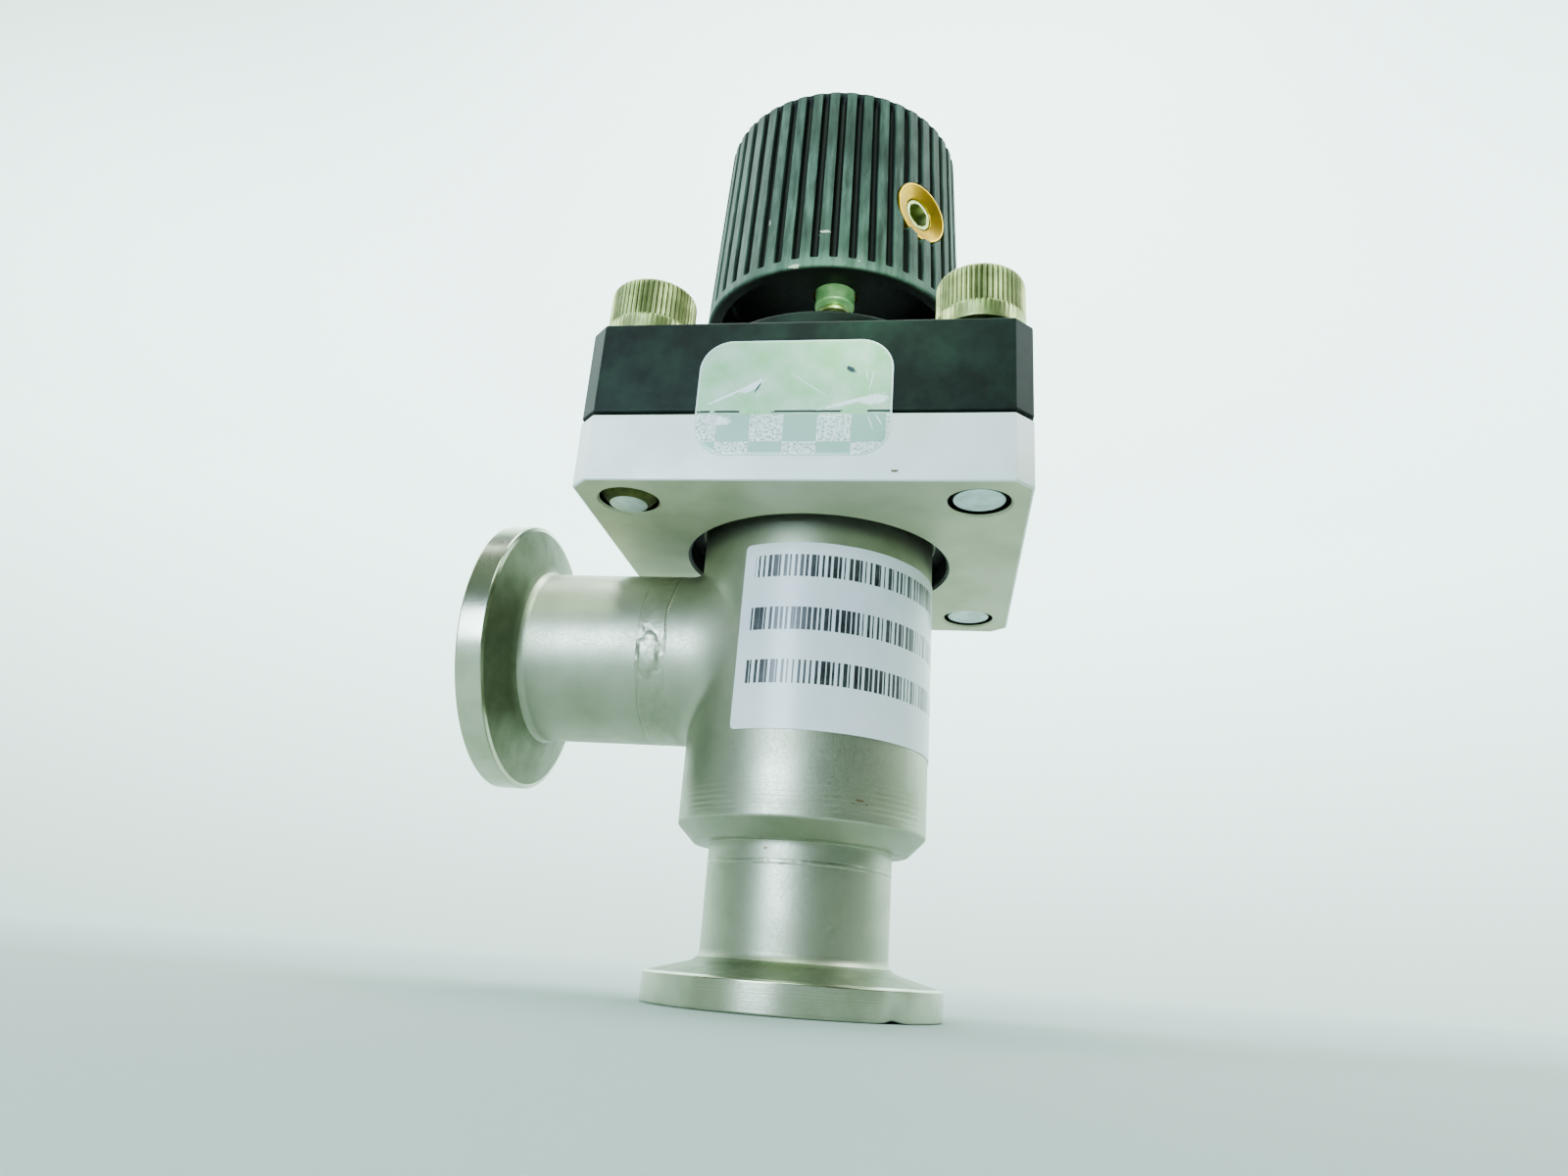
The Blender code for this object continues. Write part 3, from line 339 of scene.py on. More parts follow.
@dataclass(frozen=True)
class Phenolic(Finish):
    """Moulded phenolic, worn: its ribs are rubbed grey and dusty, and its grooves are black, partly as
    painted shade.

    The piece's "groove" attribute is 0 on a rib's crest and 1 at a groove's bottom and in the hollow, which
    is painted black as shade.
    """

    rib: str
    dust: str
    groove: str
    chip: str
    marks: tuple[Mark, ...]
    streak_mm: float = 0.8
    grime_mm: float = 9.0
    pit_mm: float = 0.3
    pit_depth_mm: float = 0.02
    lip_mm: tuple[float, float] = (77.4, 79.2)
    gloss: float = 0.2

    def dress(self, add: Adder) -> Dressing:
        """The groove share darkens, as painted shade; streaks in wide patches lighten the ribs, and so does a
        band towards the lower edge.

        Args:
            add: adds a node to the material.

        Returns:
            What feeds each of the shader's sockets.
        """
        place = add("TexCoord", output="Object")
        sunk = add("Attribute", {"attribute_name": "groove"}, output="Fac")
        drawn = add("Mapping", {"Scale": (1.0, 1.0, 0.12)}, {"Vector": place})
        streaks = add("TexNoise", {"Scale": per_metre(self.streak_mm), "Detail": 5.0, "Roughness": 0.62},
                      {"Vector": drawn})
        share = add("MapRange", {"From Min": 0.34, "From Max": 0.7}, {"Value": streaks})
        grime = add("TexNoise", {"Scale": per_metre(self.grime_mm), "Detail": 2.0}, {"Vector": place})
        clean = add("MapRange", {"From Min": 0.38, "From Max": 0.62, "To Min": 0.35, "To Max": 1.3},
                    {"Value": grime})
        dusty = add("Math", {"operation": "MULTIPLY"}, {0: share, 1: clean})
        height = add("SeparateXYZ", None, {"Vector": place}, "Z")
        lip_low, lip_high = self.lip_mm
        # Lighter towards the knob's lower edge.
        lip = add("MapRange", {"From Min": lip_high * MM, "From Max": lip_low * MM, "To Max": 0.35},
                  {"Value": height})
        handled = add("Math", {"operation": "ADD", "use_clamp": True}, {0: dusty, 1: lip})
        crest = add("Mix", {**RGBA, 6: linear(self.rib), 7: linear(self.dust)}, {0: handled}, 2)
        # Painted shade: the grooves and the hollow under the knob get the groove's black.
        depth = add("MapRange", {"From Min": 0.08, "From Max": 0.55}, {"Value": sunk})
        fluted = add("Mix", {**RGBA, 7: linear(self.groove)}, {0: depth, 6: crest}, 2)
        pits = add("TexNoise", {"Scale": per_metre(self.pit_mm), "Detail": 3.0}, {"Vector": place})
        chips = marked(add, place, self.marks, pits)
        colour = add("Mix", {**RGBA, 7: linear(self.chip)}, {0: chips, 6: fluted}, 2)
        rough = add("MapRange", {"To Min": 0.42, "To Max": 0.7}, {"Value": streaks})
        bump = add("Bump", {"Strength": 1.0, "Distance": self.pit_depth_mm * MM}, {"Height": pits})
        return {"Base Color": colour, "Roughness": rough, "Specular IOR Level": self.gloss, "Normal": bump}


@dataclass(frozen=True)
class Rubber(Finish):
    """A dull, soft surface of two close tones, as moulded seal rubber with a trace of bloom has."""

    face: str
    bloom: str
    bloom_mm: float = 1.5

    def dress(self, add: Adder) -> Dressing:
        """A soft cloud of bloom varies colour and roughness a little.

        Args:
            add: adds a node to the material.

        Returns:
            What feeds each of the shader's sockets.
        """
        place = add("TexCoord", output="Object")
        bloom = add("TexNoise", {"Scale": per_metre(self.bloom_mm), "Detail": 3.0}, {"Vector": place})
        colour = add("Mix", {**RGBA, 6: linear(self.face), 7: linear(self.bloom)}, {0: bloom}, 2)
        rough = add("MapRange", {"To Min": 0.45, "To Max": 0.7}, {"Value": bloom})
        return {"Base Color": colour, "Roughness": rough}


@dataclass(frozen=True)
class PrintedPaper(Finish):
    """Coated white label with plain bar rows that mean nothing.

    The piece's "print" attribute is the place on the flat label in metres, from its top left corner:
    X along the label, Y down it. Each row is cut into even cells, and each cell starts with one bar whose
    share of the cell is a random number of the cell's own.
    """

    sheet: str
    soil: str
    ink: str
    cell_mm: float = 0.56
    row_tops_mm: tuple[float, ...] = (1.3, 6.95, 12.45)
    row_height_mm: float = 2.4
    row_ends_mm: tuple[float, ...] = (24.6, 28.4, 29.2)
    row_start_mm: float = 1.3
    row_shift: float = 37.0
    rub_mm: float = 2.4
    dent_depth_mm: float = 0.02
    roughness: float = 0.34
    coat: float = 0.35
    coat_roughness: float = 0.22

    def _row(self, add: Adder, along: Socket, down: Socket, number: int) -> Socket:
        """Mask of one row of bars: 1 where the row, its length and an inked part of a cell meet.

        Args:
            add: adds a node to the material.
            along: place along the label in metres.
            down: place down the label in metres.
            number: which row, from 0.

        Returns:
            The mask.
        """
        half_height = self.row_height_mm / 2
        middle = self.row_tops_mm[number] + half_height
        end = self.row_ends_mm[number]
        centre, half_length = (self.row_start_mm + end) / 2, (end - self.row_start_mm) / 2
        in_row = add("Math", {"operation": "COMPARE", 1: middle * MM, 2: half_height * MM}, {0: down})
        in_length = add("Math", {"operation": "COMPARE", 1: centre * MM, 2: half_length * MM}, {0: along})
        shift = self.row_shift * (number + 1)
        cell = add("Math", {"operation": "MULTIPLY_ADD", 1: per_metre(self.cell_mm), 2: shift}, {0: along})
        whole = add("Math", {"operation": "FLOOR"}, {0: cell})
        chance = add("TexWhiteNoise", {"noise_dimensions": "1D"}, {"W": whole}, "Value")
        share = add("MapRange", {"From Min": 0.08, "To Min": 0.3, "To Max": 1.0, "clamp": False},
                    {"Value": chance})
        part = add("Math", {"operation": "FRACT"}, {0: cell})
        bar = add("Math", {"operation": "LESS_THAN"}, {0: part, 1: share})
        both = add("Math", {"operation": "MULTIPLY"}, {0: in_row, 1: in_length})
        return add("Math", {"operation": "MULTIPLY"}, {0: both, 1: bar})

    def dress(self, add: Adder) -> Dressing:
        """Ink on the rows' bars; a glossy coat over sheet and ink; rubbed and dented a little.

        Args:
            add: adds a node to the material.

        Returns:
            What feeds each of the shader's sockets.
        """
        flat = add("Attribute", {"attribute_name": "print"}, output="Vector")
        along = add("SeparateXYZ", None, {"Vector": flat}, "X")
        down = add("SeparateXYZ", None, {"Vector": flat}, "Y")
        rows = [self._row(add, along, down, number) for number in range(len(self.row_tops_mm))]
        inked = reduce(lambda mask, row: add("Math", {"operation": "MAXIMUM"}, {0: mask, 1: row}), rows)
        place = add("TexCoord", output="Object")
        rub = add("TexNoise", {"Scale": per_metre(self.rub_mm), "Detail": 5.0, "Roughness": 0.7},
                  {"Vector": place})
        fade = add("MapRange", {"From Min": 0.35, "From Max": 0.8, "To Min": 1.0, "To Max": 0.9},
                   {"Value": rub})
        ink = add("Math", {"operation": "MULTIPLY"}, {0: inked, 1: fade})
        paper = add("Mix", {**RGBA, 6: linear(self.sheet), 7: linear(self.soil)}, {0: rub}, 2)
        colour = add("Mix", {**RGBA, 7: linear(self.ink)}, {0: ink, 6: paper}, 2)
        bump = add("Bump", {"Strength": 0.5, "Distance": self.dent_depth_mm * MM}, {"Height": rub})
        return {"Base Color": colour, "Roughness": self.roughness, "Coat Weight": self.coat,
                "Coat Roughness": self.coat_roughness, "Normal": bump}


@dataclass(frozen=True)
class SilverFoil(Finish):
    """Silver film label, scuffed, with the chequered trace that its lifted glue leaves in the lower half.

    The piece's "print" attribute is the place on the label in metres, from its centre.
    """

    film: str
    film_cloud: str
    lower_film: str
    trace: str
    scuff: str
    chip: str
    shadow: str
    scuffs: tuple[Mark, ...]
    chips: tuple[Mark, ...]
    joint_mm: float = JOINT_ON_LABEL
    joint_half_mm: float = 0.12
    check_mm: float = 3.3
    check_start_mm: float = 4.1
    cloud_mm: float = 3.0
    speck_mm: float = 0.27
    wrinkle_depth_mm: float = 0.06
    metallic: float = 0.25

    def dress(self, add: Adder) -> Dressing:
        """Chequers below the joint, speckled by fine noise; scuffs and chips; the joint pressed in.

        Args:
            add: adds a node to the material.

        Returns:
            What feeds each of the shader's sockets.
        """
        flat = add("Attribute", {"attribute_name": "print"}, output="Vector")
        height = add("SeparateXYZ", None, {"Vector": flat}, "Y")
        clouds = add("TexNoise", {"Scale": per_metre(self.cloud_mm), "Detail": 4.0}, {"Vector": flat})
        fine = add("TexNoise", {"Scale": per_metre(self.speck_mm), "Detail": 4.0, "Roughness": 0.7},
                   {"Vector": flat})
        moved = add("Mapping", {"Location": (self.check_start_mm * MM, -self.joint_mm * MM, 0.0)},
                    {"Vector": flat})
        checks = add("TexChecker", {"Scale": per_metre(self.check_mm)}, {"Vector": moved}, "Fac")
        below = add("Math", {"operation": "LESS_THAN", 1: (self.joint_mm - 0.3) * MM}, {0: height})
        speck = add("MapRange", {"From Min": 0.42, "From Max": 0.5}, {"Value": fine})
        lifted = add("Math", {"operation": "MULTIPLY"}, {0: below, 1: checks})
        traced = add("Math", {"operation": "MULTIPLY"}, {0: lifted, 1: speck})
        cloudy = add("MapRange", {"From Min": 0.35, "From Max": 0.7}, {"Value": clouds})
        scuffed = marked(add, flat, self.scuffs, fine)
        on_joint = add("Math", {"operation": "COMPARE", 1: self.joint_mm * MM, 2: self.joint_half_mm * MM},
                       {0: height})
        broken = add("Math", {"operation": "GREATER_THAN", 1: 0.49}, {0: clouds})
        line = add("Math", {"operation": "MULTIPLY"}, {0: on_joint, 1: broken})
        # The film's green is a painted reflection of the room.
        colour = add("Mix", {**RGBA, 6: linear(self.film), 7: linear(self.film_cloud)}, {0: cloudy}, 2)
        for mask, tone in ((below, self.lower_film), (traced, self.trace), (scuffed, self.scuff),
                           (marked(add, flat, self.chips, fine), self.chip), (line, self.shadow)):
            colour = add("Mix", {**RGBA, 7: linear(tone)}, {0: mask, 6: colour}, 2)
        rough = add("MapRange", {"To Min": 0.25, "To Max": 0.5}, {"Value": fine})
        raised = add("Math", {"operation": "ADD"}, {0: traced, 1: scuffed})
        wrinkle = add("Math", {"operation": "ADD"}, {0: clouds, 1: raised})
        bump = add("Bump", {"Strength": 0.6, "Distance": self.wrinkle_depth_mm * MM}, {"Height": wrinkle})
        return {"Base Color": colour, "Metallic": self.metallic, "Roughness": rough, "Normal": bump}


@dataclass(frozen=True)
class StudioPaper(Finish):
    """Matt backdrop paper: pale behind the valve, cooler near the floor, and grey on the camera's side.

    The grey side keeps the room before the valve dim, so that its metal shows dark as well as light.
    """

    high: str
    low: str
    camera_side: str
    roughness: float = 0.85
    gloss: float = 0.2

    def dress(self, add: Adder) -> Dressing:
        """Mix by height, then by distance towards the camera's side; no gloss to speak of.

        Args:
            add: adds a node to the material.

        Returns:
            What feeds each of the shader's sockets.
        """
        place = add("TexCoord", output="Object")
        height = add("SeparateXYZ", None, {"Vector": place}, "Z")
        rise = add("MapRange", {"From Min": 0.0, "From Max": 0.4}, {"Value": height})
        pale = add("Mix", {**RGBA, 6: linear(self.low), 7: linear(self.high)}, {0: rise}, 2)
        aside = add("VectorMath", {"operation": "DOT_PRODUCT", 1: (-0.3, 1.0, 0.0)}, {0: place}, "Value")
        toward = add("MapRange", {"From Min": 0.3, "From Max": -0.18}, {"Value": aside})
        reach = add("VectorMath", {"operation": "LENGTH"}, {0: place}, "Value")
        far = add("MapRange", {"From Min": 0.2, "From Max": 0.5}, {"Value": reach})
        near = add("Math", {"operation": "MULTIPLY"}, {0: toward, 1: far})
        colour = add("Mix", {**RGBA, 7: linear(self.camera_side)}, {0: near, 6: pale}, 2)
        return {"Base Color": colour, "Roughness": self.roughness, "Specular IOR Level": self.gloss}


# Bead-blasted stainless steel: an even, slightly warm grey with broad highlights and a fine sparkle.
BLASTED_STAINLESS = Metal(
    "blasted_stainless", "B2B6A0", "A0A48C", 0.43, 0.09, 6.0, 0.24, 0.009,
    marks=(Mark(around_axis(-2.19, -9.3, 14.65), (0.22, 0.6, 0.16)),
           Mark(around_axis(6.76, -11.0, 19.3), (0.5, 0.6, 0.1), 32.0),
           Mark(around_axis(7.4, -10.6, 19.0), (0.16, 0.5, 0.08)),
           Mark(around_axis(6.2, -11.4, 18.95), (0.12, 0.5, 0.07))),
    mark_colour="8C7358")
# Turned stainless steel, for port rims and faces: sharper reflections, drawn out along the turning marks.
TURNED_STAINLESS = Metal("turned_stainless", "C8CBB4", "B4B89C", 0.22, 0.05, 4.0, 0.2, 0.002, 0.25, 0.004)
# Stainless steel left as turned on the clamping tapers: duller and darker.
DULL_STAINLESS = Metal("dull_turned_stainless", "7B836A", "6E765C", 0.52, 0.06, 2.4, 0.3, 0.01, 0.3, 0.006)
# Tungsten weld on stainless steel, ground back and blasted: a little rougher than the tube.
GROUND_WELD = Metal("ground_weld", "AFB39C", "A3A78F", 0.4, 0.1, 1.0, 0.3, 0.02)
# Satin aluminium, milled and lightly blasted: bright, even and cool.
SATIN_ALUMINIUM = Metal(
    "satin_aluminium_plate", "F2F5F2", "E2E7E0", 0.54, 0.06, 8.0, 0.26, 0.008, brush_mm=0.3, metallic=0.5,
    marks=(Mark(around_axis(9.52, -22.5, 48.3), (0.35, 0.2, 0.16)),))
# The plate's underside, milled and never blasted: duller, and a darker beige than the plate's other faces as
# painted shade.
MILLED_ALUMINIUM = Metal("milled_aluminium", "BABD9E", "ACB090", 0.46, 0.07, 5.0, 0.26, 0.008,
                         brush_mm=0.4, metallic=0.55)
# Painted shade: near black metal for the narrow gap round the body, the tapped holes and the screw shanks in
# them.
SHADED_STEEL = Metal("oil_dark_metal", "1E221B", "12140F", 0.5, 0.08, 2.0, 0.3, 0.01)
# Stainless steel of the screws, rolled and oiled: slightly yellow, with dark traces.
SCREW_STEEL = Metal("screw_stainless", "B6C282", "8E9A60", 0.42, 0.08, 1.8, 0.18, 0.006)
# The stem's collar, turned and dull: pale and greenish as painted light, so that it shows lit in the shade
# under the knob.
DULL_COLLAR = Metal("dull_collar_stainless", "94BC88", "6C9A66", 0.55, 0.08, 1.8, 0.2, 0.006, metallic=0.4)
# Painted shade with oil in the knurl's grooves, and painted shade on the front left screw's tip: brown and
# dull.
KNURL_OIL = Metal("oiled_knurl_groove", "585C32", "3C4024", 0.55, 0.08, 1.8, 0.2, 0.01)
# Screw ends, cut and left bare: bluish grey and smoother.
SCREW_END = Metal("screw_end_stainless", "BCCCCE", "A2B4AC", 0.32, 0.06, 1.6, 0.3, 0.005)
# Turned brass: warm yellow, bright where the tool left fine marks.
TURNED_BRASS = Metal("turned_brass", "D6AC22", "B8900F", 0.34, 0.08, 1.5, 0.2, 0.004, 0.2, 0.006)
# Bearing bronze: browner and duller than brass.
PLAIN_BRONZE = Metal("plain_bronze", "A98A5A", "8E7247", 0.36, 0.08, 2.0, 0.2, 0.005, 0.25, 0.004)
# Rolled thin stainless sheet of the bellows: bright and smooth.
BRIGHT_SHEET = Metal("bright_sheet_steel", "C4C5C0", "B2B4AE", 0.2, 0.05, 2.5, 0.2, 0.002)
# Black anodised aluminium of the bonnet: nearly black, satin, greener where it was rubbed.
BLACK_ANODISED = Anodised("black_anodised_plate", "0C130F", "1E3328", 0.46)
# Moulded phenolic of the knob, worn matt: pale dusty ribs between grooves that are black partly as painted
# shade, the hollow painted black as shade, and a few pale chips.
WORN_PHENOLIC = Phenolic(
    "worn_phenolic", "28362C", "5A7464", "020403", "C9CDB4",
    (Mark(around_axis(0.14, -15.2, 81.75), (0.85, 0.5, 0.18)),
     Mark(around_axis(-2.9, -15.4, 77.25), (0.8, 0.5, 0.2)),
     Mark(around_axis(4.3, -14.7, 78.0), (0.2, 0.4, 0.12)),
     Mark(around_axis(-6.4, -13.9, 84.4), (0.14, 0.4, 0.5))))
# Nitrile rubber of the seal rings: near black and dull.
SEAL_RUBBER = Rubber("moulded_seal_rubber", "141414", "2A2B2B")
# Coated label paper: bright white under a thin gloss.
LABEL_PAPER = PrintedPaper("coated_label_paper", "F1F4F8", "DCDFE3", "08090B")
# Silver film: a soft metal sheen, its green a painted reflection of the room, white where its glue let go.
LABEL_FOIL = SilverFoil(
    "silver_film_label", "8FCC92", "C4DCC6", "9EC2B0", "FCFEFF", "F4F8FA", "2E3A44", "26302B",
    scuffs=(Mark((7.6, 1.8, 0.0), (1.2, 0.07, 1.0), 80.0), Mark((7.1, 2.3, 0.0), (0.8, 0.05, 1.0), 98.0),
            Mark((-6.2, 0.3, 0.0), (3.1, 0.16, 1.0), 27.0), Mark((-4.1, 1.2, 0.0), (1.5, 0.42, 1.0), 34.0),
            Mark((5.8, -0.6, 0.0), (3.4, 0.24, 1.0), 15.0), Mark((7.9, -0.4, 0.0), (1.5, 0.6, 1.0), 5.0),
            Mark((8.4, -2.6, 0.0), (0.7, 0.09, 1.0), -62.0), Mark((7.6, -2.9, 0.0), (0.9, 0.07, 1.0), -70.0),
            Mark((1.6, 1.2, 0.0), (2.6, 0.05, 1.0), -35.0), Mark((-7.4, -2.6, 0.0), (1.6, 0.6, 1.0), -8.0)),
    chips=(Mark((5.5, 2.95, 0.0), (0.6, 0.28, 1.0), -38.0), Mark((-3.6, 1.0, 0.0), (0.75, 0.1, 1.0), 62.0)))
# The cut edge of the film label: pale and matt.
FILM_EDGE = Rubber("film_edge", "DDE6E2", "F2F6F4")
# Backdrop paper: matt, so that it gives soft, even reflections.
BACKDROP = StudioPaper("backdrop_paper", "DEF0EA", "98A3A0", "4B4E40")


# Shapes


def upright(points: np.ndarray) -> np.ndarray:
    """A lathe shape that already stands on the valve's axis."""
    return points


def along_branch(start: float) -> PointsTo:
    """Lay a lathe shape on the side port's axis.

    Args:
        start: how far from the valve's axis the shape's own zero lies.

    Returns:
        The function that places points: height turns towards the valve, and radius stays round the branch.
    """
    def place(points: np.ndarray) -> np.ndarray:
        """Height becomes the distance towards the valve."""
        x, y, z = points[..., 0], points[..., 1], points[..., 2]
        return np.stack([z - start, y, BRANCH_Z - x], axis=-1)
    return place


def along_set_screw(start: float, degrees: float = 47.0) -> PointsTo:
    """Lay a lathe shape on the set screw's axis.

    Args:
        start: how far from the valve's axis the shape's own zero lies.
        degrees: the screw's direction, from the front towards +X.

    Returns:
        The function that places points: height points outwards from the knob.
    """
    turn = math.radians(degrees - 90.0)
    cos_turn, sin_turn = math.cos(turn), math.sin(turn)

    def place(points: np.ndarray) -> np.ndarray:
        """Height becomes the distance outwards, turned to the screw's direction."""
        x, y, out = points[..., 0], points[..., 1], start + points[..., 2]
        return np.stack([out * cos_turn - y * sin_turn, out * sin_turn + y * cos_turn, INSERT_Z - x], axis=-1)
    return place


def lathe_upright(points: np.ndarray) -> np.ndarray:
    """Radius and height around the valve's axis, in metres, for points in millimetres."""
    radius = np.hypot(points[:, 0], points[:, 1])
    return np.stack([radius, points[:, 2], 0.0 * radius], axis=1) * MM


def lathe_branch(points: np.ndarray) -> np.ndarray:
    """Radius and height around the side port's axis, in metres, for points in millimetres."""
    radius = np.hypot(points[:, 1], points[:, 2] - BRANCH_Z)
    return np.stack([radius, points[:, 0], 0.0 * radius], axis=1) * MM


def profile(corners: Sequence[tuple[float, ...]], closed: bool = False, steps: int = 4) -> np.ndarray:
    """Round the corners of a profile with true arcs.

    The arc at a corner starts radius * tan(turn / 2) before it, at most ARC_SHARE of the shorter side, and
    turns at an even rate. A support point on each side of the arc keeps the shading of long walls flat.

    Args:
        corners: (radius, height) or (radius, height, corner radius) of each corner, in millimetres.
        closed: whether the last corner joins the first.
        steps: flats in each arc.

    Returns:
        The profile's points, one row each.
    """
    bare = [complex(corner[0], corner[1]) for corner in corners]
    count = len(bare)
    points: list[complex] = []
    for index, corner in enumerate(corners):
        here = bare[index]
        size = corner[2] if len(corner) > 2 else 0.0
        inside = closed or 0 < index < count - 1
        if not inside or size <= 0.0:
            points.append(here)
            continue
        before, after = bare[index - 1], bare[(index + 1) % count]
        way_in, way_out = here - before, after - here
        shorter = min(abs(way_in), abs(way_out))
        room = ARC_SHARE * shorter
        way_in /= abs(way_in)
        way_out /= abs(way_out)
        turn = math.atan2((way_in.conjugate() * way_out).imag, (way_in.conjugate() * way_out).real)
        reach = size * math.tan(abs(turn) / 2)
        if reach > room:
            size *= room / reach
            reach = room
        start = here - way_in * reach
        centre = start + 1j * way_in * math.copysign(size, turn)
        arc = centre + (start - centre) * np.exp(1j * turn * np.arange(steps + 1) / steps)
        if shorter * (1.0 - ARC_SHARE) > 2 * ARC_SUPPORT:
            points += [start - way_in * ARC_SUPPORT, *arc, here + way_out * (reach + ARC_SUPPORT)]
        else:
            points.extend(arc)
    flat = np.array(points)
    return np.stack([flat.real, flat.imag], axis=1)


def around(columns: int) -> np.ndarray:
    """Evenly spaced angles of a full turn."""
    return np.arange(columns) * (TURN / columns)


def polar(radius: float | np.ndarray, angles: np.ndarray, height: float | np.ndarray) -> np.ndarray:
    """Points x = r cos(angle), y = r sin(angle), z = height, each spread over the others' shape."""
    return np.stack(np.broadcast_arrays(radius * np.cos(angles), radius * np.sin(angles), height), axis=-1)


def stacked(rings: Sequence[tuple[float | np.ndarray, float]], angles: np.ndarray) -> np.ndarray:
    """Grid of rings around the axis, one row each.

    Args:
        rings: each ring's radius, one number or one for each angle, and its height.
        angles: the angles once round.

    Returns:
        The grid's points.
    """
    radius = np.stack([ring_radius + 0.0 * angles for ring_radius, _ in rings])
    return polar(radius, angles, np.array([[height] for _, height in rings]))


def spun(section: np.ndarray, columns: int) -> np.ndarray:
    """Grid of a surface of revolution: x = r cos(angle), y = r sin(angle), z = height.

    Args:
        section: (radius, height) rows.
        columns: steps around the axis.

    Returns:
        Points in rows along the section and columns around the axis.
    """
    return polar(section[:, :1], around(columns), section[:, 1:])


def quads_of(rows: int, columns: int, around_columns: bool = True, around_rows: bool = False) -> np.ndarray:
    """Quads of a grid: point (row, column) joins its neighbours to the right and below.

    Args:
        rows: rows of points.
        columns: columns of points.
        around_columns: whether the last column joins the first.
        around_rows: whether the last row joins the first.

    Returns:
        Four point numbers in each row.
    """
    numbers = np.arange(rows * columns).reshape(rows, columns)
    if around_columns:
        numbers = np.concatenate([numbers, numbers[:, :1]], axis=1)
    if around_rows:
        numbers = np.concatenate([numbers, numbers[:1]], axis=0)
    quads = np.stack([numbers[:-1, :-1], numbers[:-1, 1:], numbers[1:, 1:], numbers[1:, :-1]], axis=-1)
    return quads.reshape(-1, 4)


class Surface:
    """Gathers grids and flat faces in millimetres and makes one closed piece of them."""

    def __init__(self) -> None:
        """Start with no faces."""
        self.points: list[np.ndarray] = []
        self.faces: list[tuple[int, ...]] = []
        self.finish_numbers: list[int] = []
        self.count = 0

    def _take(self, points: np.ndarray, faces: np.ndarray, finish: int | np.ndarray) -> None:
        """Append points and their faces.

        Args:
            points: one row each, in millimetres around the valve's axis.
            faces: one row of point numbers each, counted from the first of these points.
            finish: number of the piece's finish for these faces, or one number for each.
        """
        self.points.append(points)
        self.faces.extend(map(tuple, (faces + self.count).tolist()))
        self.finish_numbers.extend(np.broadcast_to(finish, len(faces)).tolist())
        self.count += len(points)

    def grid(self, grid: np.ndarray, around_columns: bool = True, around_rows: bool = False,
             finish: int | np.ndarray = 0) -> "Surface":
        """Add a grid of quads.

        Args:
            grid: points in rows and columns.
            around_columns: whether the last column joins the first.
            around_rows: whether the last row joins the first.
            finish: number of the piece's finish, or one for each quad in the rows' order.

        Returns:
            The surface itself.
        """
        self._take(grid.reshape(-1, 3), quads_of(*grid.shape[:2], around_columns, around_rows), finish)
        return self

    def flat(self, loops: Sequence[np.ndarray], finish: int = 0) -> "Surface":
        """Fill a flat area: the first loop is its outline and the others are holes in it.

        Args:
            loops: closed loops of points in one plane.
            finish: number of the piece's finish.

        Returns:
            The surface itself.
        """
        triangles = tessellate_polygon([loop.tolist() for loop in loops])
        self._take(np.concatenate(loops), np.array(triangles), finish)
        return self

    def piece(self, name: str, finishes: Sequence[Finish], place: PointsTo = upright,
              attributes: dict[str, PointsTo] | None = None, sharp_degrees: float = 35.0) -> Piece:
        """Make the closed mesh object, its place in its mesh and its faces pointing outwards.

        Args:
            name: the piece's name.
            finishes: the finishes that the faces' numbers stand for.
            place: function that carries the points to their place around the valve's axis.
            attributes: for a name, the function that gives each point's value or vector from its place.
            sharp_degrees: edges that turn more than this stay sharp.

        Returns:
            The new object, at the origin.
        """
        mesh = bpy.data.meshes.new(name)
        points = place(np.concatenate(self.points)) + np.array([AXIS_X, 0.0, 0.0])
        mesh.from_pydata(points * MM, [], self.faces)
        mesh.polygons.foreach_set("material_index", np.array(self.finish_numbers, np.int32))
        build = bmesh.new()
        build.from_mesh(mesh)
        bmesh.ops.remove_doubles(build, verts=build.verts, dist=1e-6)
        bmesh.ops.dissolve_degenerate(build, edges=build.edges, dist=1e-7)
        bmesh.ops.recalc_face_normals(build, faces=build.faces)
        build.to_mesh(mesh)
        build.free()
        finish_mesh(mesh, finishes, attributes or {"lathe": lathe_upright}, sharp_degrees)
        piece = bpy.data.objects.new(name, mesh)
        bpy.context.scene.collection.objects.link(piece)
        return piece


def finish_mesh(mesh: bpy.types.Mesh, finishes: Sequence[Finish], attributes: dict[str, PointsTo],
                sharp_degrees: float) -> None:
    """Shade a mesh smooth between its sharp edges and give it finishes and attributes.

    Args:
        mesh: the mesh, in the row frame.
        finishes: its finishes in the order of their numbers.
        attributes: for a name, the function of the points in millimetres around the valve's axis.
        sharp_degrees: edges that turn more than this stay sharp.
    """
    for finish in finishes:
        mesh.materials.append(finish.material())
    flat = np.empty(len(mesh.vertices) * 3, np.float32)
    mesh.vertices.foreach_get("co", flat)
    points = flat.reshape(-1, 3).astype(float) / MM - np.array([AXIS_X, 0.0, 0.0])
    for name, values_of in attributes.items():
        values = values_of(points)
        vector = values.ndim == 2
        layer = mesh.attributes.new(name, "FLOAT_VECTOR" if vector else "FLOAT", "POINT")
        layer.data.foreach_set("vector" if vector else "value", values.astype(np.float32).ravel())
    mesh.shade_smooth()
    mesh.set_sharp_from_angle(angle=math.radians(sharp_degrees))


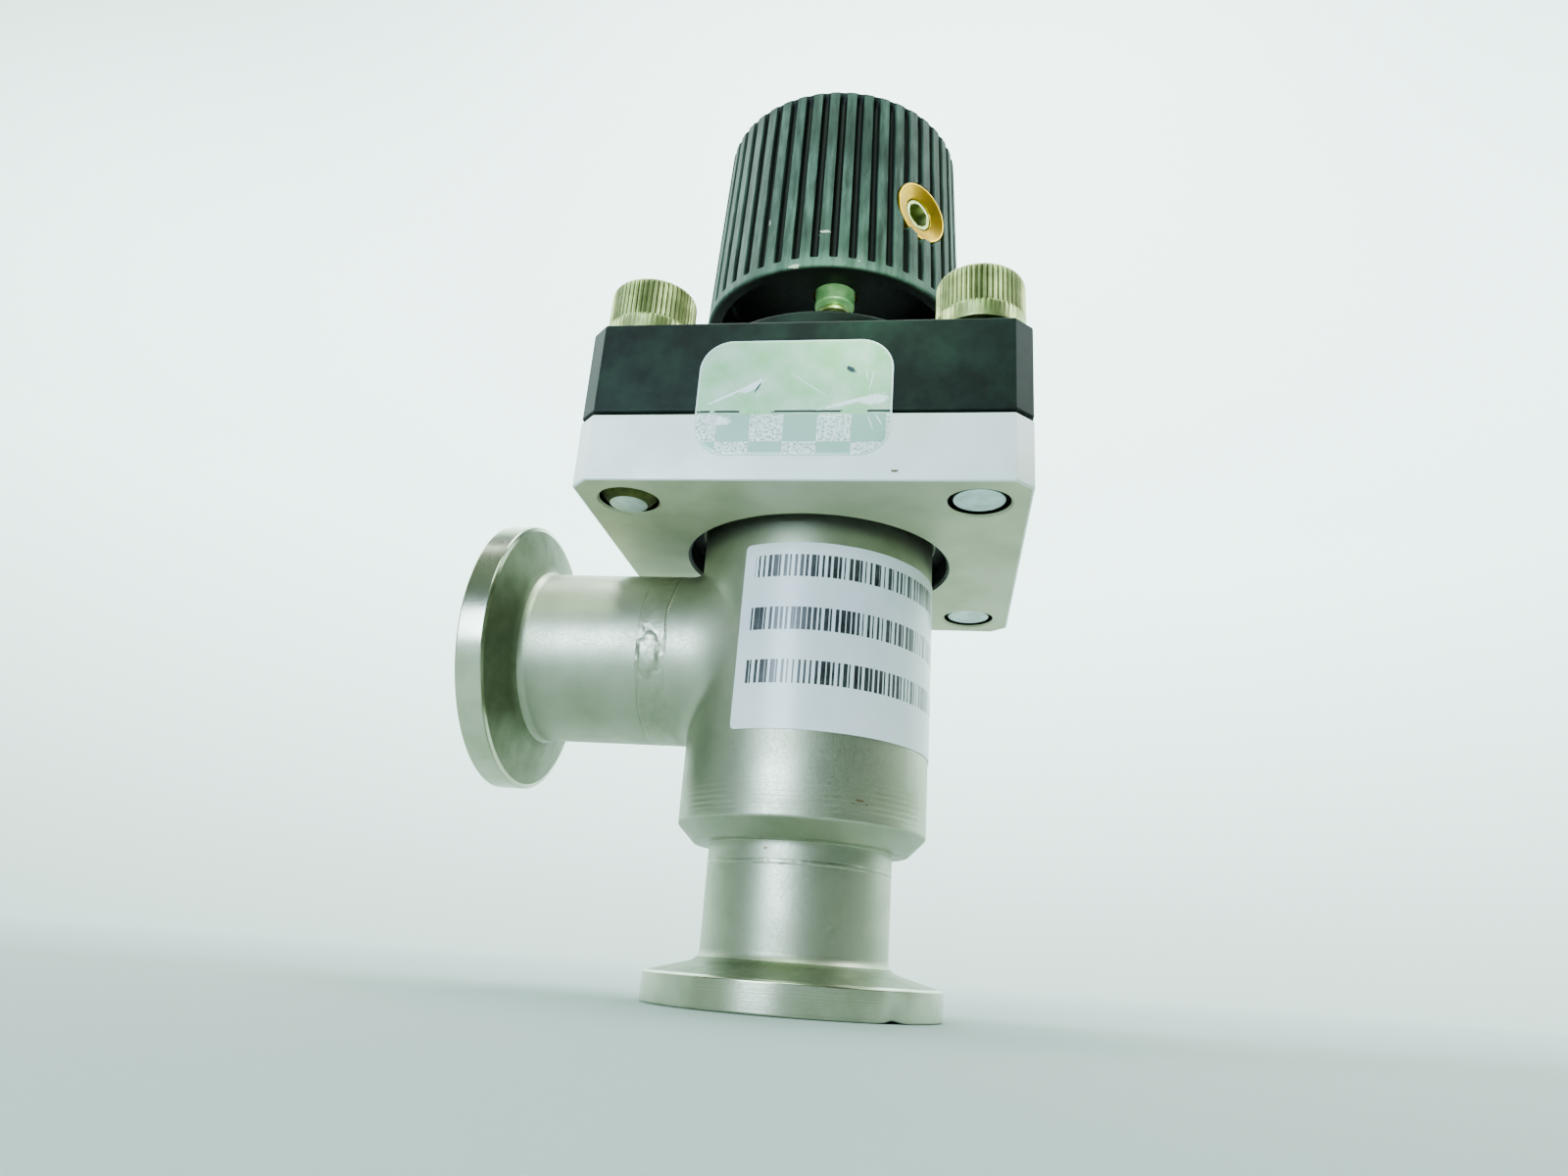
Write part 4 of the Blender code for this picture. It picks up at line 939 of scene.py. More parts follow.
def cut(piece: Piece, tool: Piece, operation: str = "DIFFERENCE", sharp_degrees: float = 35.0) -> None:
    """Cut a tool from a piece, or join it, and keep the result as the piece's mesh.

    A Boolean makes the few openings whose edge a grid can't follow.

    Args:
        piece: the object that stays.
        tool: the object that is used up.
        operation: DIFFERENCE or UNION.
        sharp_degrees: edges that turn more than this stay sharp.
    """
    modifier = piece.modifiers.new("cut", "BOOLEAN")
    modifier.operation = operation
    modifier.solver = "EXACT"
    modifier.object = tool
    bpy.context.view_layer.update()
    graph = bpy.context.evaluated_depsgraph_get()
    result = bpy.data.meshes.new_from_object(piece.evaluated_get(graph))
    piece.modifiers.clear()
    old = piece.data
    piece.data = result
    bpy.data.meshes.remove(old)
    result.name = piece.name
    spent = tool.data
    bpy.data.objects.remove(tool)
    bpy.data.meshes.remove(spent)
    result.shade_smooth()
    result.set_sharp_from_angle(angle=math.radians(sharp_degrees))


def settle(piece: Piece, body: Body, slot: Slot, *nodes: str) -> None:
    """Let a finished piece ride on its body and stand for its CAD nodes.

    Args:
        piece: the finished object.
        body: the CAD body that it moves with.
        slot: the record's material slot; it is not used.
        nodes: the CAD nodes that it stands for.
    """
    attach(piece, body.value)
    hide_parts(*nodes)
    logger.info("built %s, %d faces, for %s", piece.name, len(piece.data.polygons), ", ".join(nodes))


def turned_piece(name: str, corners: Sequence[tuple[float, ...]], finish: Finish, closed: bool = True,
                 place: PointsTo = upright) -> Piece:
    """Make a turned piece from its profile.

    Args:
        name: the piece's name.
        corners: the profile's corners; a solid one starts and ends on the axis.
        finish: the piece's finish.
        closed: whether the profile closes on itself, as a ring's does.
        place: where the piece goes.

    Returns:
        The new object.
    """
    surface = Surface().grid(spun(profile(corners, closed), 96), around_rows=closed)
    return surface.piece(name, [finish], place)


@dataclass
class PortStub:
    """Small flange and its tube: flat sealing face, seat for a centring ring, polished rim, tapered back."""

    name: str
    length: float
    place: PointsTo = upright
    lathe: PointsTo = lathe_upright
    nicked: bool = False
    flange_radius: float = 15.0
    rim: float = 2.8
    taper_degrees: float = 15.0
    fillet: float = 1.2
    seat_radius: float = 8.6
    seat_depth: float = 3.0
    tube_radius: float = 9.525
    wall: float = 1.65
    bevel: float = 0.5
    nick_degrees: float = -44.5
    nick_depth: float = 0.28
    nick_rise: float = 0.9
    nick_half_sizes: tuple[float, float, float] = (0.9, 0.9, 0.5)
    columns: int = 160

    def build(self) -> None:
        """Turn the stub bright on the rim and the sealing face, dull on the taper, and blast the rest."""
        bore = self.tube_radius - self.wall
        slope = math.tan(math.radians(self.taper_degrees))
        cone_top = self.rim + (self.flange_radius - self.tube_radius) * slope
        bright = profile([
            (self.seat_radius, self.seat_depth),
            (self.seat_radius, 0.0, 0.12),
            (self.flange_radius, 0.0, 0.15),
            (self.flange_radius, self.rim, 0.15),
            (self.flange_radius - self.bevel, self.rim + self.bevel * slope),
        ])
        blasted = profile([
            (self.flange_radius - self.bevel, self.rim + self.bevel * slope),
            (self.tube_radius, cone_top, self.fillet),
            (self.tube_radius, self.length, 0.02),
            (bore, self.length, 0.02),
            (bore, self.seat_depth, 0.1),
            (self.seat_radius, self.seat_depth),
        ])
        rim_grid = spun(bright, self.columns)
        if self.nicked:
            rim_grid = self._nick(rim_grid)
        tube_grid = spun(blasted, self.columns)
        taper_rows = 1 + int(np.argmin(np.abs(blasted[:, 0] - self.tube_radius - 0.35)))
        surface = Surface().grid(rim_grid, finish=1)
        surface.grid(tube_grid[:taper_rows], finish=2).grid(tube_grid[taper_rows - 1:])
        piece = surface.piece(self.name, [BLASTED_STAINLESS, TURNED_STAINLESS, DULL_STAINLESS], self.place,
                              {"lathe": self.lathe})
        settle(piece, Body.HOUSING, Slot.STAINLESS, self.name)

    def _nick(self, grid: np.ndarray) -> np.ndarray:
        """Push in the small nick in the rim's lower edge.

        The push falls off with the square of the distance from the nick's middle, as a Gaussian.

        Args:
            grid: the rim's points.

        Returns:
            The dented points.
        """
        outward = polar(1.0, np.array(math.radians(self.nick_degrees)), 0.0)
        away = (grid - self.flange_radius * outward) / np.array(self.nick_half_sizes)
        push = np.exp(-np.linalg.norm(away, axis=-1, keepdims=True) ** 2)
        return grid + self.nick_depth * push * (np.array([0.0, 0.0, self.nick_rise]) - outward)


@dataclass
class BottomWeld:
    """Fine fused seam on the lower tube, dressed nearly flush."""

    radius: float = 9.525
    bore: float = 7.875
    start: float = 13.2
    width: float = 0.5
    crown: float = 0.02
    toe_depth: float = 0.01
    ripple_height: float = 0.012
    columns: int = 192

    def build(self) -> None:
        """Make a low crown between two shallow toe lines, its height rippled by sums of sines."""
        across = np.linspace(0.0, 1.0, 9)[:, None]
        arch = np.sin(math.pi * across)
        angles = around(self.columns)
        ripple = self.ripple_height * (np.sin(61 * angles) + np.sin(23 * angles + 1.0))
        radius = self.radius + (arch * (self.crown + self.toe_depth) - self.toe_depth) + ripple * arch
        outside = polar(radius, angles, self.start + self.width * across)
        ends = np.array([[self.bore, self.start + self.width], [self.bore, self.start]])
        surface = Surface().grid(np.concatenate([outside, spun(ends, self.columns)]), around_rows=True)
        piece = surface.piece("bottom_weld", [GROUND_WELD])
        settle(piece, Body.HOUSING, Slot.STAINLESS, "bottom_weld")


@dataclass
class SideWeld:
    """Ground weld band on the side tube, between two seam lines, with one oval lump left standing."""

    radius: float = 9.525
    bore: float = 7.875
    inner_reach: float = 14.25
    width: float = 3.2
    seam_depth: float = 0.05
    seam_half_width: float = 0.1
    lump_height: float = 0.11
    lump_reach: float = 16.2
    lump_degrees: float = 191.5
    lump_half_width: float = 1.05
    lump_half_length: float = 1.9
    limit: float = 0.12

    def build(self) -> None:
        """Radius = tube + ripples of the weld - a groove at each seam + a flat-topped oval bump."""
        rows, columns = 65, 288
        reach = np.linspace(self.inner_reach, self.inner_reach + self.width, rows)[:, None]
        angles = around(columns)[None, :]
        uneven = 0.012 * np.sin(7 * angles + 2.1 * reach) + 0.008 * np.sin(19 * angles - 3.3 * reach)
        wander = 0.09 * np.sin(5 * angles) + 0.06 * np.sin(11 * angles + 1.7)
        seams = (self.inner_reach + 0.2, self.inner_reach + self.width - 0.2)
        arc = self.radius * np.angle(np.exp(1j * (angles - math.radians(self.lump_degrees))))
        shown = (0.25 + 0.75 / (1.0 + np.exp(2.0 * arc)), 0.25 + 0.75 / (1.0 + np.exp(-2.0 * arc)))
        groove = sum(share * np.exp(-(((reach - seam - wander) / self.seam_half_width) ** 2))
                     for seam, share in zip(seams, shown))
        away = ((reach - self.lump_reach) / self.lump_half_width) ** 2 + (arc / self.lump_half_length) ** 2
        away = away * (1.0 + 0.22 * np.sin(2.6 * arc + 3.0 * reach) + 0.12 * np.sin(7.0 * arc))
        lump = np.exp(-(away ** 3)) - 0.45 * np.exp(-(((away - 1.75) / 0.4) ** 2))
        cut_in = self.seam_depth * groove * (1.0 - 0.8 * np.exp(-away))
        radius = np.minimum(self.radius + uneven - cut_in + self.lump_height * lump, self.radius + self.limit)
        outside = polar(radius, angles, -reach)
        inside = polar(self.bore, angles, np.array([[-self.inner_reach - self.width], [-self.inner_reach]]))
        rings = np.concatenate([outside, inside])[..., [2, 0, 1]] + np.array([0.0, 0.0, BRANCH_Z])
        surface = Surface().grid(rings, around_rows=True)
        lathe = {"lathe": lathe_branch}
        piece = surface.piece("side_weld", [GROUND_WELD], attributes=lathe, sharp_degrees=60.0)
        settle(piece, Body.HOUSING, Slot.STAINLESS, "side_weld")


@dataclass
class ValveBody:
    """Turned body with a drawn branch, the valve seat and the flange that the clamp plate pulls up."""

    radius: float = 12.95
    bore: float = 11.3
    tube_radius: float = 9.525
    tube_bore: float = 7.875
    spigot_bottom: float = 13.7
    bottom: float = 15.5
    chamfer: float = 1.75
    floor_top: float = 18.6
    seat_top: float = 19.2
    seat_radius: float = 9.28
    flange_bottom: float = 49.8
    flange_top: float = 54.8
    flange_radius: float = 18.39
    recess_radius: float = 16.88
    recess_floor: float = 53.0
    groove_inner: float = 12.6
    groove_outer: float = 15.18
    groove_floor: float = 51.5
    branch_reach: float = 14.25
    side_blend: float = 3.6
    end_blend: float = 0.9
    blend_pull: float = 0.62
    lines_top: float = 21.5
    lines_depth: float = 0.022
    columns: int = 144
    window_columns: int = 26
    window_rows: int = 24
    window_half_height: float = 11.4

    def build(self) -> None:
        """Spin the parts below and above the branch and join them to it through two pierced bands."""
        low, high = BRANCH_Z - self.window_half_height, BRANCH_Z + self.window_half_height
        below = profile([
            (self.bore, low),
            (self.bore, self.floor_top, 0.4),
            (self.seat_radius, self.floor_top, 0.15),
            (self.seat_radius, self.seat_top, 0.15),
            (self.tube_bore, self.seat_top, 0.15),
            (self.tube_bore, self.spigot_bottom, 0.05),
            (self.tube_radius, self.spigot_bottom, 0.02),
            (self.tube_radius, self.bottom, 0.1),
            (self.radius - self.chamfer, self.bottom, 0.12),
            (self.radius, self.bottom + self.chamfer, 0.45),
            (self.radius, low),
        ], steps=5)
        heights = np.linspace(self.bottom + self.chamfer + 0.6, self.lines_top, 60)
        fade = np.clip((self.lines_top - heights) / 3.0, 0.0, 1.0) * np.clip((heights - 17.8) / 0.3, 0.0, 1.0)
        swing = self.lines_depth * fade
        wave = 1.0 + np.sin(11.0 * heights) + 0.8 * np.sin(27.0 * heights + 1.0)
        lines = self.radius - swing * wave / 2.8
        below = np.concatenate([below[:-1], np.stack([lines, heights], axis=1), below[-1:]])
        above = profile([
            (self.radius, high),
            (self.radius, self.flange_bottom, 0.3),
            (self.flange_radius, self.flange_bottom, 0.2),
            (self.flange_radius, self.flange_top, 0.2),
            (self.recess_radius, self.flange_top, 0.1),
            (self.recess_radius, self.recess_floor, 0.1),
            (self.groove_outer, self.recess_floor, 0.1),
            (self.groove_outer, self.groove_floor, 0.1),
            (self.groove_inner, self.groove_floor, 0.1),
            (self.groove_inner, self.recess_floor, 0.1),
            (self.bore, self.recess_floor, 0.15),
            (self.bore, high),
        ])
        ledge = int(np.argmax(above[:, 0] > self.radius + 0.2))
        surface = Surface().grid(spun(below, self.columns)).grid(spun(above[:ledge + 1], self.columns))
        # The flange's underside takes finish 1, near black painted shade for the gap round the body.
        surface.grid(spun(above[ledge:ledge + 4], self.columns), finish=1)
        surface.grid(spun(above[ledge + 3:], self.columns))
        for radius in (self.radius, self.bore):
            surface.grid(self._wall_away_from_branch(radius), around_columns=False)
        for grid in self._branch():
            surface.grid(grid)
        piece = surface.piece("valve_body", [BLASTED_STAINLESS, SHADED_STEEL])
        settle(piece, Body.HOUSING, Slot.STAINLESS, "valve_body")

    def _wall_away_from_branch(self, radius: float) -> np.ndarray:
        """Cylinder grid over the columns that the branch's window leaves out.

        Args:
            radius: the wall's radius.

        Returns:
            Points of the wall, window edge to window edge.
        """
        middle = self.columns // 2
        steps = np.arange(middle + self.window_columns, middle + self.columns - self.window_columns + 1)
        heights = np.linspace(-1.0, 1.0, self.window_rows + 1)[:, None] * self.window_half_height + BRANCH_Z
        return polar(radius, steps * (TURN / self.columns), heights)

    def _window_edge(self) -> tuple[np.ndarray, np.ndarray]:
        """Once round the window's edge, counted so that its points are the neighbours' own.

        Returns:
            The turn from the -X direction towards +Y, and the height above the branch's axis.
        """
        half = self.window_columns
        step = TURN / self.columns
        side = np.linspace(-1.0, 1.0, self.window_rows + 1)[:-1]
        base = np.arange(-half, half) * step
        edge = np.full(len(side), half * step)
        turns = np.concatenate([base, edge, -base, -edge])
        heights = np.concatenate([-np.ones(len(base)), side, np.ones(len(base)), -side])
        return turns, heights * self.window_half_height

    def _on_wall(self, radius: float, turns: np.ndarray, heights: np.ndarray) -> np.ndarray:
        """Points of a cylinder at a turn from -X towards +Y and a height above the branch's axis."""
        return np.stack([-radius * np.cos(turns), radius * np.sin(turns), BRANCH_Z + heights], axis=-1)

    def _ring_to_window(self, radius: float, hole: np.ndarray) -> np.ndarray:
        """Grid on a cylinder from a hole's edge out to the window's edge, evenly spaced in turn and height.

        Args:
            radius: the wall's radius.
            hole: the hole's edge as turn and height, one row for each point of the window's edge.

        Returns:
            The grid's points, hole first.
        """
        turns, heights = self._window_edge()
        share = np.linspace(0.0, 1.0, 7)[:, None]
        return self._on_wall(radius, hole[:, 0] + share * (turns - hole[:, 0]),
                             hole[:, 1] + share * (heights - hole[:, 1]))

    def _branch(self) -> list[np.ndarray]:
        """Grids of both pierced walls, the saddle-shaped blend, the branch, its end and its bore.

        For each direction round the branch, the blend is a cubic curve that leaves the tube along the tube
        and lands on the body along the body. It is wide at the sides and tight above and below.

        Returns:
            Grids that meet edge to edge, each going once round the branch.
        """
        turns, heights = self._window_edge()
        ways = np.arctan2(turns / np.abs(turns).max(), heights / np.abs(heights).max())
        sine, cosine = np.sin(ways), np.cos(ways)
        width = self.end_blend + (self.side_blend - self.end_blend) * sine ** 2
        landing = self.tube_radius + 0.5 * width
        lands_y = landing * sine
        lands_x = np.sqrt(self.radius ** 2 - lands_y ** 2)
        outer_hole = np.stack([np.arcsin(lands_y / self.radius), landing * cosine], axis=1)
        tube_y, tube_z = self.tube_radius * sine, self.tube_radius * cosine
        corner_x = np.sqrt(self.radius ** 2 - tube_y ** 2)
        leaves = np.stack([-(corner_x + width), tube_y, tube_z], axis=1)
        lands = np.stack([-lands_x, lands_y, landing * cosine], axis=1)
        corner = np.stack([-corner_x, tube_y, tube_z], axis=1)
        slope = np.stack([lands_y * sine / lands_x, sine, cosine], axis=1)
        slope /= np.linalg.norm(slope, axis=1, keepdims=True)
        from_tube = leaves + self.blend_pull * (corner - leaves)
        from_body = lands - self.blend_pull * slope * np.linalg.norm(lands - corner, axis=1, keepdims=True)
        share = np.linspace(0.0, 1.0, 13)[:, None, None]
        blend = ((1 - share) ** 3 * lands + 3 * share * (1 - share) ** 2 * from_body
                 + 3 * share ** 2 * (1 - share) * from_tube + share ** 3 * leaves)
        end = np.stack([np.full(len(ways), -self.branch_reach), tube_y, tube_z], axis=1)
        narrowed = self.tube_bore / self.tube_radius
        end_inside = end * np.array([1.0, narrowed, narrowed])
        bore_y, bore_z = self.tube_bore * sine, self.tube_bore * cosine
        mouth = np.stack([-np.sqrt(self.bore ** 2 - bore_y ** 2), bore_y, bore_z], axis=1)
        tube_share = np.linspace(0.0, 1.0, 4)[:, None, None]
        tube = leaves + tube_share * (end - leaves)
        bore = end_inside + tube_share * (mouth - end_inside)
        lift = np.array([0.0, 0.0, BRANCH_Z])
        inner_hole = np.stack([np.arcsin(bore_y / self.bore), bore_z], axis=1)
        return [
            self._ring_to_window(self.radius, outer_hole),
            blend + lift,
            tube + lift,
            np.stack([end, end_inside]) + lift,
            bore + lift,
            self._ring_to_window(self.bore, inner_hole),
        ]


def square_loop(half: float, chamfer: float, inset: float, height: float) -> np.ndarray:
    """Loop of a square with its corners cut off, moved inwards by an even inset.

    Args:
        half: half the square's side.
        chamfer: how far along each side the corner is cut.
        inset: distance by which every side moves inwards.
        height: the loop's height.

    Returns:
        Eight corners with three points on each of them, so that the corners stay crisp but soft-edged.
    """
    side = half - inset
    cut_at = half - chamfer - inset * (math.sqrt(2.0) - 1.0)
    quarter = np.array([[side, -cut_at], [side, cut_at]])
    turns = [np.array([[c, s], [-s, c]]) for c, s in ((1, 0), (0, 1), (-1, 0), (0, -1))]
    corners = np.concatenate([quarter @ turn for turn in turns])
    before, after = np.roll(corners, 1, axis=0), np.roll(corners, -1, axis=0)

    def toward(other: np.ndarray, distance: float) -> np.ndarray:
        """Points this far from the corners on the way to their neighbours."""
        way = other - corners
        return corners + way / np.linalg.norm(way, axis=1, keepdims=True) * distance

    loop = np.stack([toward(before, 0.12), toward(before, 0.05), corners * 0.9985, toward(after, 0.05),
                     toward(after, 0.12)], axis=1).reshape(-1, 2)
    return np.concatenate([loop, np.full((len(loop), 1), height)], axis=1)


def ring_loop(x: float, y: float, radius: float, height: float, columns: int = 64) -> np.ndarray:
    """Circle of points around a centre."""
    return polar(radius, around(columns), height) + np.array([x, y, 0.0])


def hole_wall(x: float, y: float, section: np.ndarray, columns: int = 64) -> np.ndarray:
    """Surface of revolution around an upright axis at (x, y)."""
    return spun(section, columns) + np.array([x, y, 0.0])


@dataclass(frozen=True)
class ScrewPlace:
    """Where a cap screw stands, in millimetres, and how its end looks from below.

    The end is just below the clamp plate's lower face on the front left and just inside it elsewhere.
    """

    name: str
    x: float
    y: float
    lift: float
    end: float
    tip: float = 0.5
    tip_finish: int = 2


SCREW_PLACES = (
    # The front left screw's tip takes finish 3, brown painted shade.
    ScrewPlace("front_left", -17.5, -17.5, 0.0, 46.95, 1.1, 3),
    ScrewPlace("front_right", 17.5, -17.5, 0.8, 47.62),
    ScrewPlace("rear_left", -17.5, 17.5, 0.0, 47.5),
    ScrewPlace("rear_right", 17.5, 17.5, 0.0, 47.62),
)


def plate_sides(half: float, chamfer: float, low: float, high: float, edge: float) -> list[np.ndarray]:
    """Loops up the side of a plate: a rounded lower edge, the wall, a rounded upper edge.

    The inset at an edge is edge * (1 - sin(angle)) and its height edge * (1 - cos(angle)), a quarter circle.

    Args:
        half: half the plate's side.
        chamfer: size of the cut corners.
        low: height of the lower face.
        high: height of the upper face.
        edge: radius of the rounded edges.

    Returns:
        The loops from the lower face to the upper one.
    """
    near = edge + 0.06
    steps = [(near, 0.0)]
    steps += [(edge * (1 - math.sin(a)), edge * (1 - math.cos(a))) for a in np.linspace(0.0, math.pi / 2, 4)]
    steps.append((0.0, near))
    lower = [square_loop(half, chamfer, inset, low + rise) for inset, rise in steps]
    upper = [square_loop(half, chamfer, inset, high - rise) for inset, rise in steps]
    return [*lower, *upper[::-1]]


@dataclass
class ClampPlate:
    """Square aluminium plate that draws the body's flange up, with four tapped holes."""

    half: float = 22.5
    chamfer: float = 1.8
    low: float = 47.3
    high: float = 54.5
    edge: float = 0.18
    hole_radius: float = 14.6
    hole_chamfer: float = 0.3
    ledge_height: float = 49.8
    counterbore_radius: float = 18.69
    thread_radius: float = 3.06
    thread_chamfer: float = 0.22

    def build(self) -> None:
        """Join the sides, both flat faces, the stepped hole and the four tapped holes."""
        sides = plate_sides(self.half, self.chamfer, self.low, self.high, self.edge)
        surface = Surface().grid(np.stack(sides))
        mouth_radius = self.hole_radius + self.hole_chamfer
        big = profile([
            (mouth_radius, self.low),
            (self.hole_radius, self.low + self.hole_chamfer, 0.1),
            (self.hole_radius, self.ledge_height, 0.1),
            (self.counterbore_radius, self.ledge_height, 0.1),
            (self.counterbore_radius, self.high, 0.0),
        ])
        # The wall of the hole round the body and, below, the tapped holes' walls take finish 1, near black
        # painted shade.
        surface.grid(hole_wall(0.0, 0.0, big, 160), finish=1)
        mouth = self.thread_radius + self.thread_chamfer
        ream = np.array([[mouth, self.low], [self.thread_radius, self.low + self.thread_chamfer]])
        small = np.array([ream[1], [self.thread_radius, self.high]])
        bottom = [sides[0], ring_loop(0.0, 0.0, mouth_radius, self.low, 160)]
        top = [sides[-1], ring_loop(0.0, 0.0, self.counterbore_radius, self.high, 160)]
        for screw in SCREW_PLACES:
            surface.grid(hole_wall(screw.x, screw.y, ream), finish=2)
            surface.grid(hole_wall(screw.x, screw.y, small), finish=1)
            bottom.append(ring_loop(screw.x, screw.y, mouth, self.low))
            top.append(ring_loop(screw.x, screw.y, self.thread_radius, self.high))
        # The lower face and the tapped holes' mouths take finish 2, the underside's painted shade.
        surface.flat(bottom, finish=2).flat(top)
        piece = surface.piece("clamp_plate", [SATIN_ALUMINIUM, SHADED_STEEL, MILLED_ALUMINIUM])
        settle(piece, Body.HOUSING, Slot.ALUMINIUM, "clamp_plate")


@dataclass
class Bonnet:
    """Square black plate with a round boss, the cavity for the shaft's end and four clearance holes."""

    half: float = 22.5
    chamfer: float = 1.8
    low: float = 54.8
    high: float = 65.0
    edge: float = 0.2
    boss_radius: float = 16.0
    boss_top: float = 70.95
    boss_edge: float = 0.35
    cavity_radius: float = 7.0
    cavity_top: float = 62.0
    bore_radius: float = 5.3
    hole_radius: float = 3.3

    def build(self) -> None:
        """Join the sides, both flat faces, the boss with its bore, and the screw holes."""
        sides = plate_sides(self.half, self.chamfer, self.low, self.high, self.edge)
        surface = Surface().grid(np.stack(sides))
        boss = profile([
            (self.boss_radius + self.boss_edge, self.high),
            (self.boss_radius, self.high, 0.2),
            (self.boss_radius, self.boss_top, self.boss_edge),
            (self.bore_radius, self.boss_top, 0.2),
            (self.bore_radius, self.cavity_top, 0.1),
            (self.cavity_radius, self.cavity_top, 0.2),
            (self.cavity_radius, self.low),
        ])
        surface.grid(hole_wall(0.0, 0.0, boss, 160))
        through = np.array([[self.hole_radius, self.low], [self.hole_radius, self.high]])
        bottom = [sides[0], ring_loop(0.0, 0.0, self.cavity_radius, self.low, 160)]
        top = [sides[-1], ring_loop(0.0, 0.0, self.boss_radius + self.boss_edge, self.high, 160)]
        for screw in SCREW_PLACES:
            surface.grid(hole_wall(screw.x, screw.y, through))
            bottom.append(ring_loop(screw.x, screw.y, self.hole_radius, self.low))
            top.append(ring_loop(screw.x, screw.y, self.hole_radius, self.high))
        surface.flat(bottom).flat(top)
        settle(surface.piece("bonnet", [BLACK_ANODISED]), Body.HOUSING, Slot.ANODISED, "bonnet")


def hexagon_radius(angles: np.ndarray, across_flats: float) -> np.ndarray:
    """Distance from a hexagon's centre to its side: half the flats over the cosine of the turn from it."""
    sixth = TURN / 6.0
    return across_flats / 2.0 / np.cos(np.mod(angles, sixth) - sixth / 2.0)


@dataclass
class CapScrew:
    """Socket head cap screw with a straight knurl above a plain band and a hexagon socket."""

    place: ScrewPlace
    seat: float = 65.0
    shank_radius: float = 3.0
    head_radius: float = 4.6
    head_height: float = 6.35
    band_height: float = 1.6
    ridges: int = 54
    ridge_points: int = 6
    knurl_depth: float = 0.12
    groove_share: float = 0.3
    socket_flats: float = 4.76
    socket_depth: float = 3.2

    def build(self) -> None:
        """Stack rings of points from the shank's end over the head and down the socket.

        On the knurl the radius dips between ridges as depth * (1 - cos(ridges * angle)) / 2, sharpened.
        """
        columns = self.ridges * self.ridge_points
        angles = around(columns)
        crest = 0.5 + 0.5 * np.cos(self.ridges * angles)
        dip = self.knurl_depth * (1.0 - crest) ** 0.7
        place = self.place
        length = self.seat + place.lift - place.end
        round_part = profile([
            (0.0, -length),
            (self.shank_radius - place.tip, -length, 0.1),
            (self.shank_radius, place.tip - length, 0.1),
            (self.shank_radius, -0.25, 0.1),
            (self.shank_radius, 0.0),
            (self.head_radius - 0.12, 0.0, 0.12),
            (self.head_radius - 0.05, self.band_height, 0.05),
        ])
        band, top = self.band_height, self.head_height
        stations = [(band + 0.12, 0.0, 0.9), (band + 0.3, 0.0, 1.0), (top - 0.9, 0.0, 1.0),
                    (top - 0.55, 0.02, 1.0), (top - 0.3, 0.12, 0.85), (top - 0.12, 0.28, 0.55),
                    (top, 0.55, 0.15), (top, 0.7, 0.0)]
        rings = [*round_part] + [(self.head_radius - inset - share * dip, z) for z, inset, share in stations]
        hexagon = hexagon_radius(angles, self.socket_flats)
        mouth = np.maximum(hexagon, self.socket_flats / 2 + 0.28)
        floor = top - self.socket_depth
        rings += [(mouth, top), (hexagon, top - 0.22), (hexagon, floor), (hexagon * 0.5, floor - 0.25),
                  (0.0, floor - 0.5)]
        grid = stacked(rings, angles) + np.array([place.x, place.y, self.seat + place.lift])
        face_rows = int(np.sum(round_part[:, 1] < 0.02 - length))
        tip_rows = int(np.sum(round_part[:, 1] < place.tip + 0.1 - length))
        shank_rows = int(np.sum(round_part[:, 1] < -0.01))
        surface = Surface().grid(grid[:face_rows], finish=1)
        # The tip and the shank take painted shade for the hole they sit in: near black, and brown on the
        # front left screw's tip.
        surface.grid(grid[face_rows - 1:tip_rows], finish=place.tip_finish)
        surface.grid(grid[tip_rows - 1:shank_rows], finish=2)
        head = grid[shank_rows - 1:]
        knurl_start = len(round_part) - shank_rows + 2
        finishes = np.zeros((len(head) - 1, columns), int)
        # The knurl's grooves take finish 3, painted shade with oil.
        finishes[knurl_start:knurl_start + 3, (crest + np.roll(crest, -1)) / 2 < self.groove_share] = 3
        surface.grid(head, finish=finishes.reshape(-1))
        name = f"cap_screw_{place.name}"
        piece = surface.piece(name, [SCREW_STEEL, SCREW_END, SHADED_STEEL, KNURL_OIL], attributes={
            "lathe": lambda points: lathe_upright(points - np.array([place.x, place.y, 0.0])),
        })
        settle(piece, Body.HOUSING, Slot.FASTENER, name)


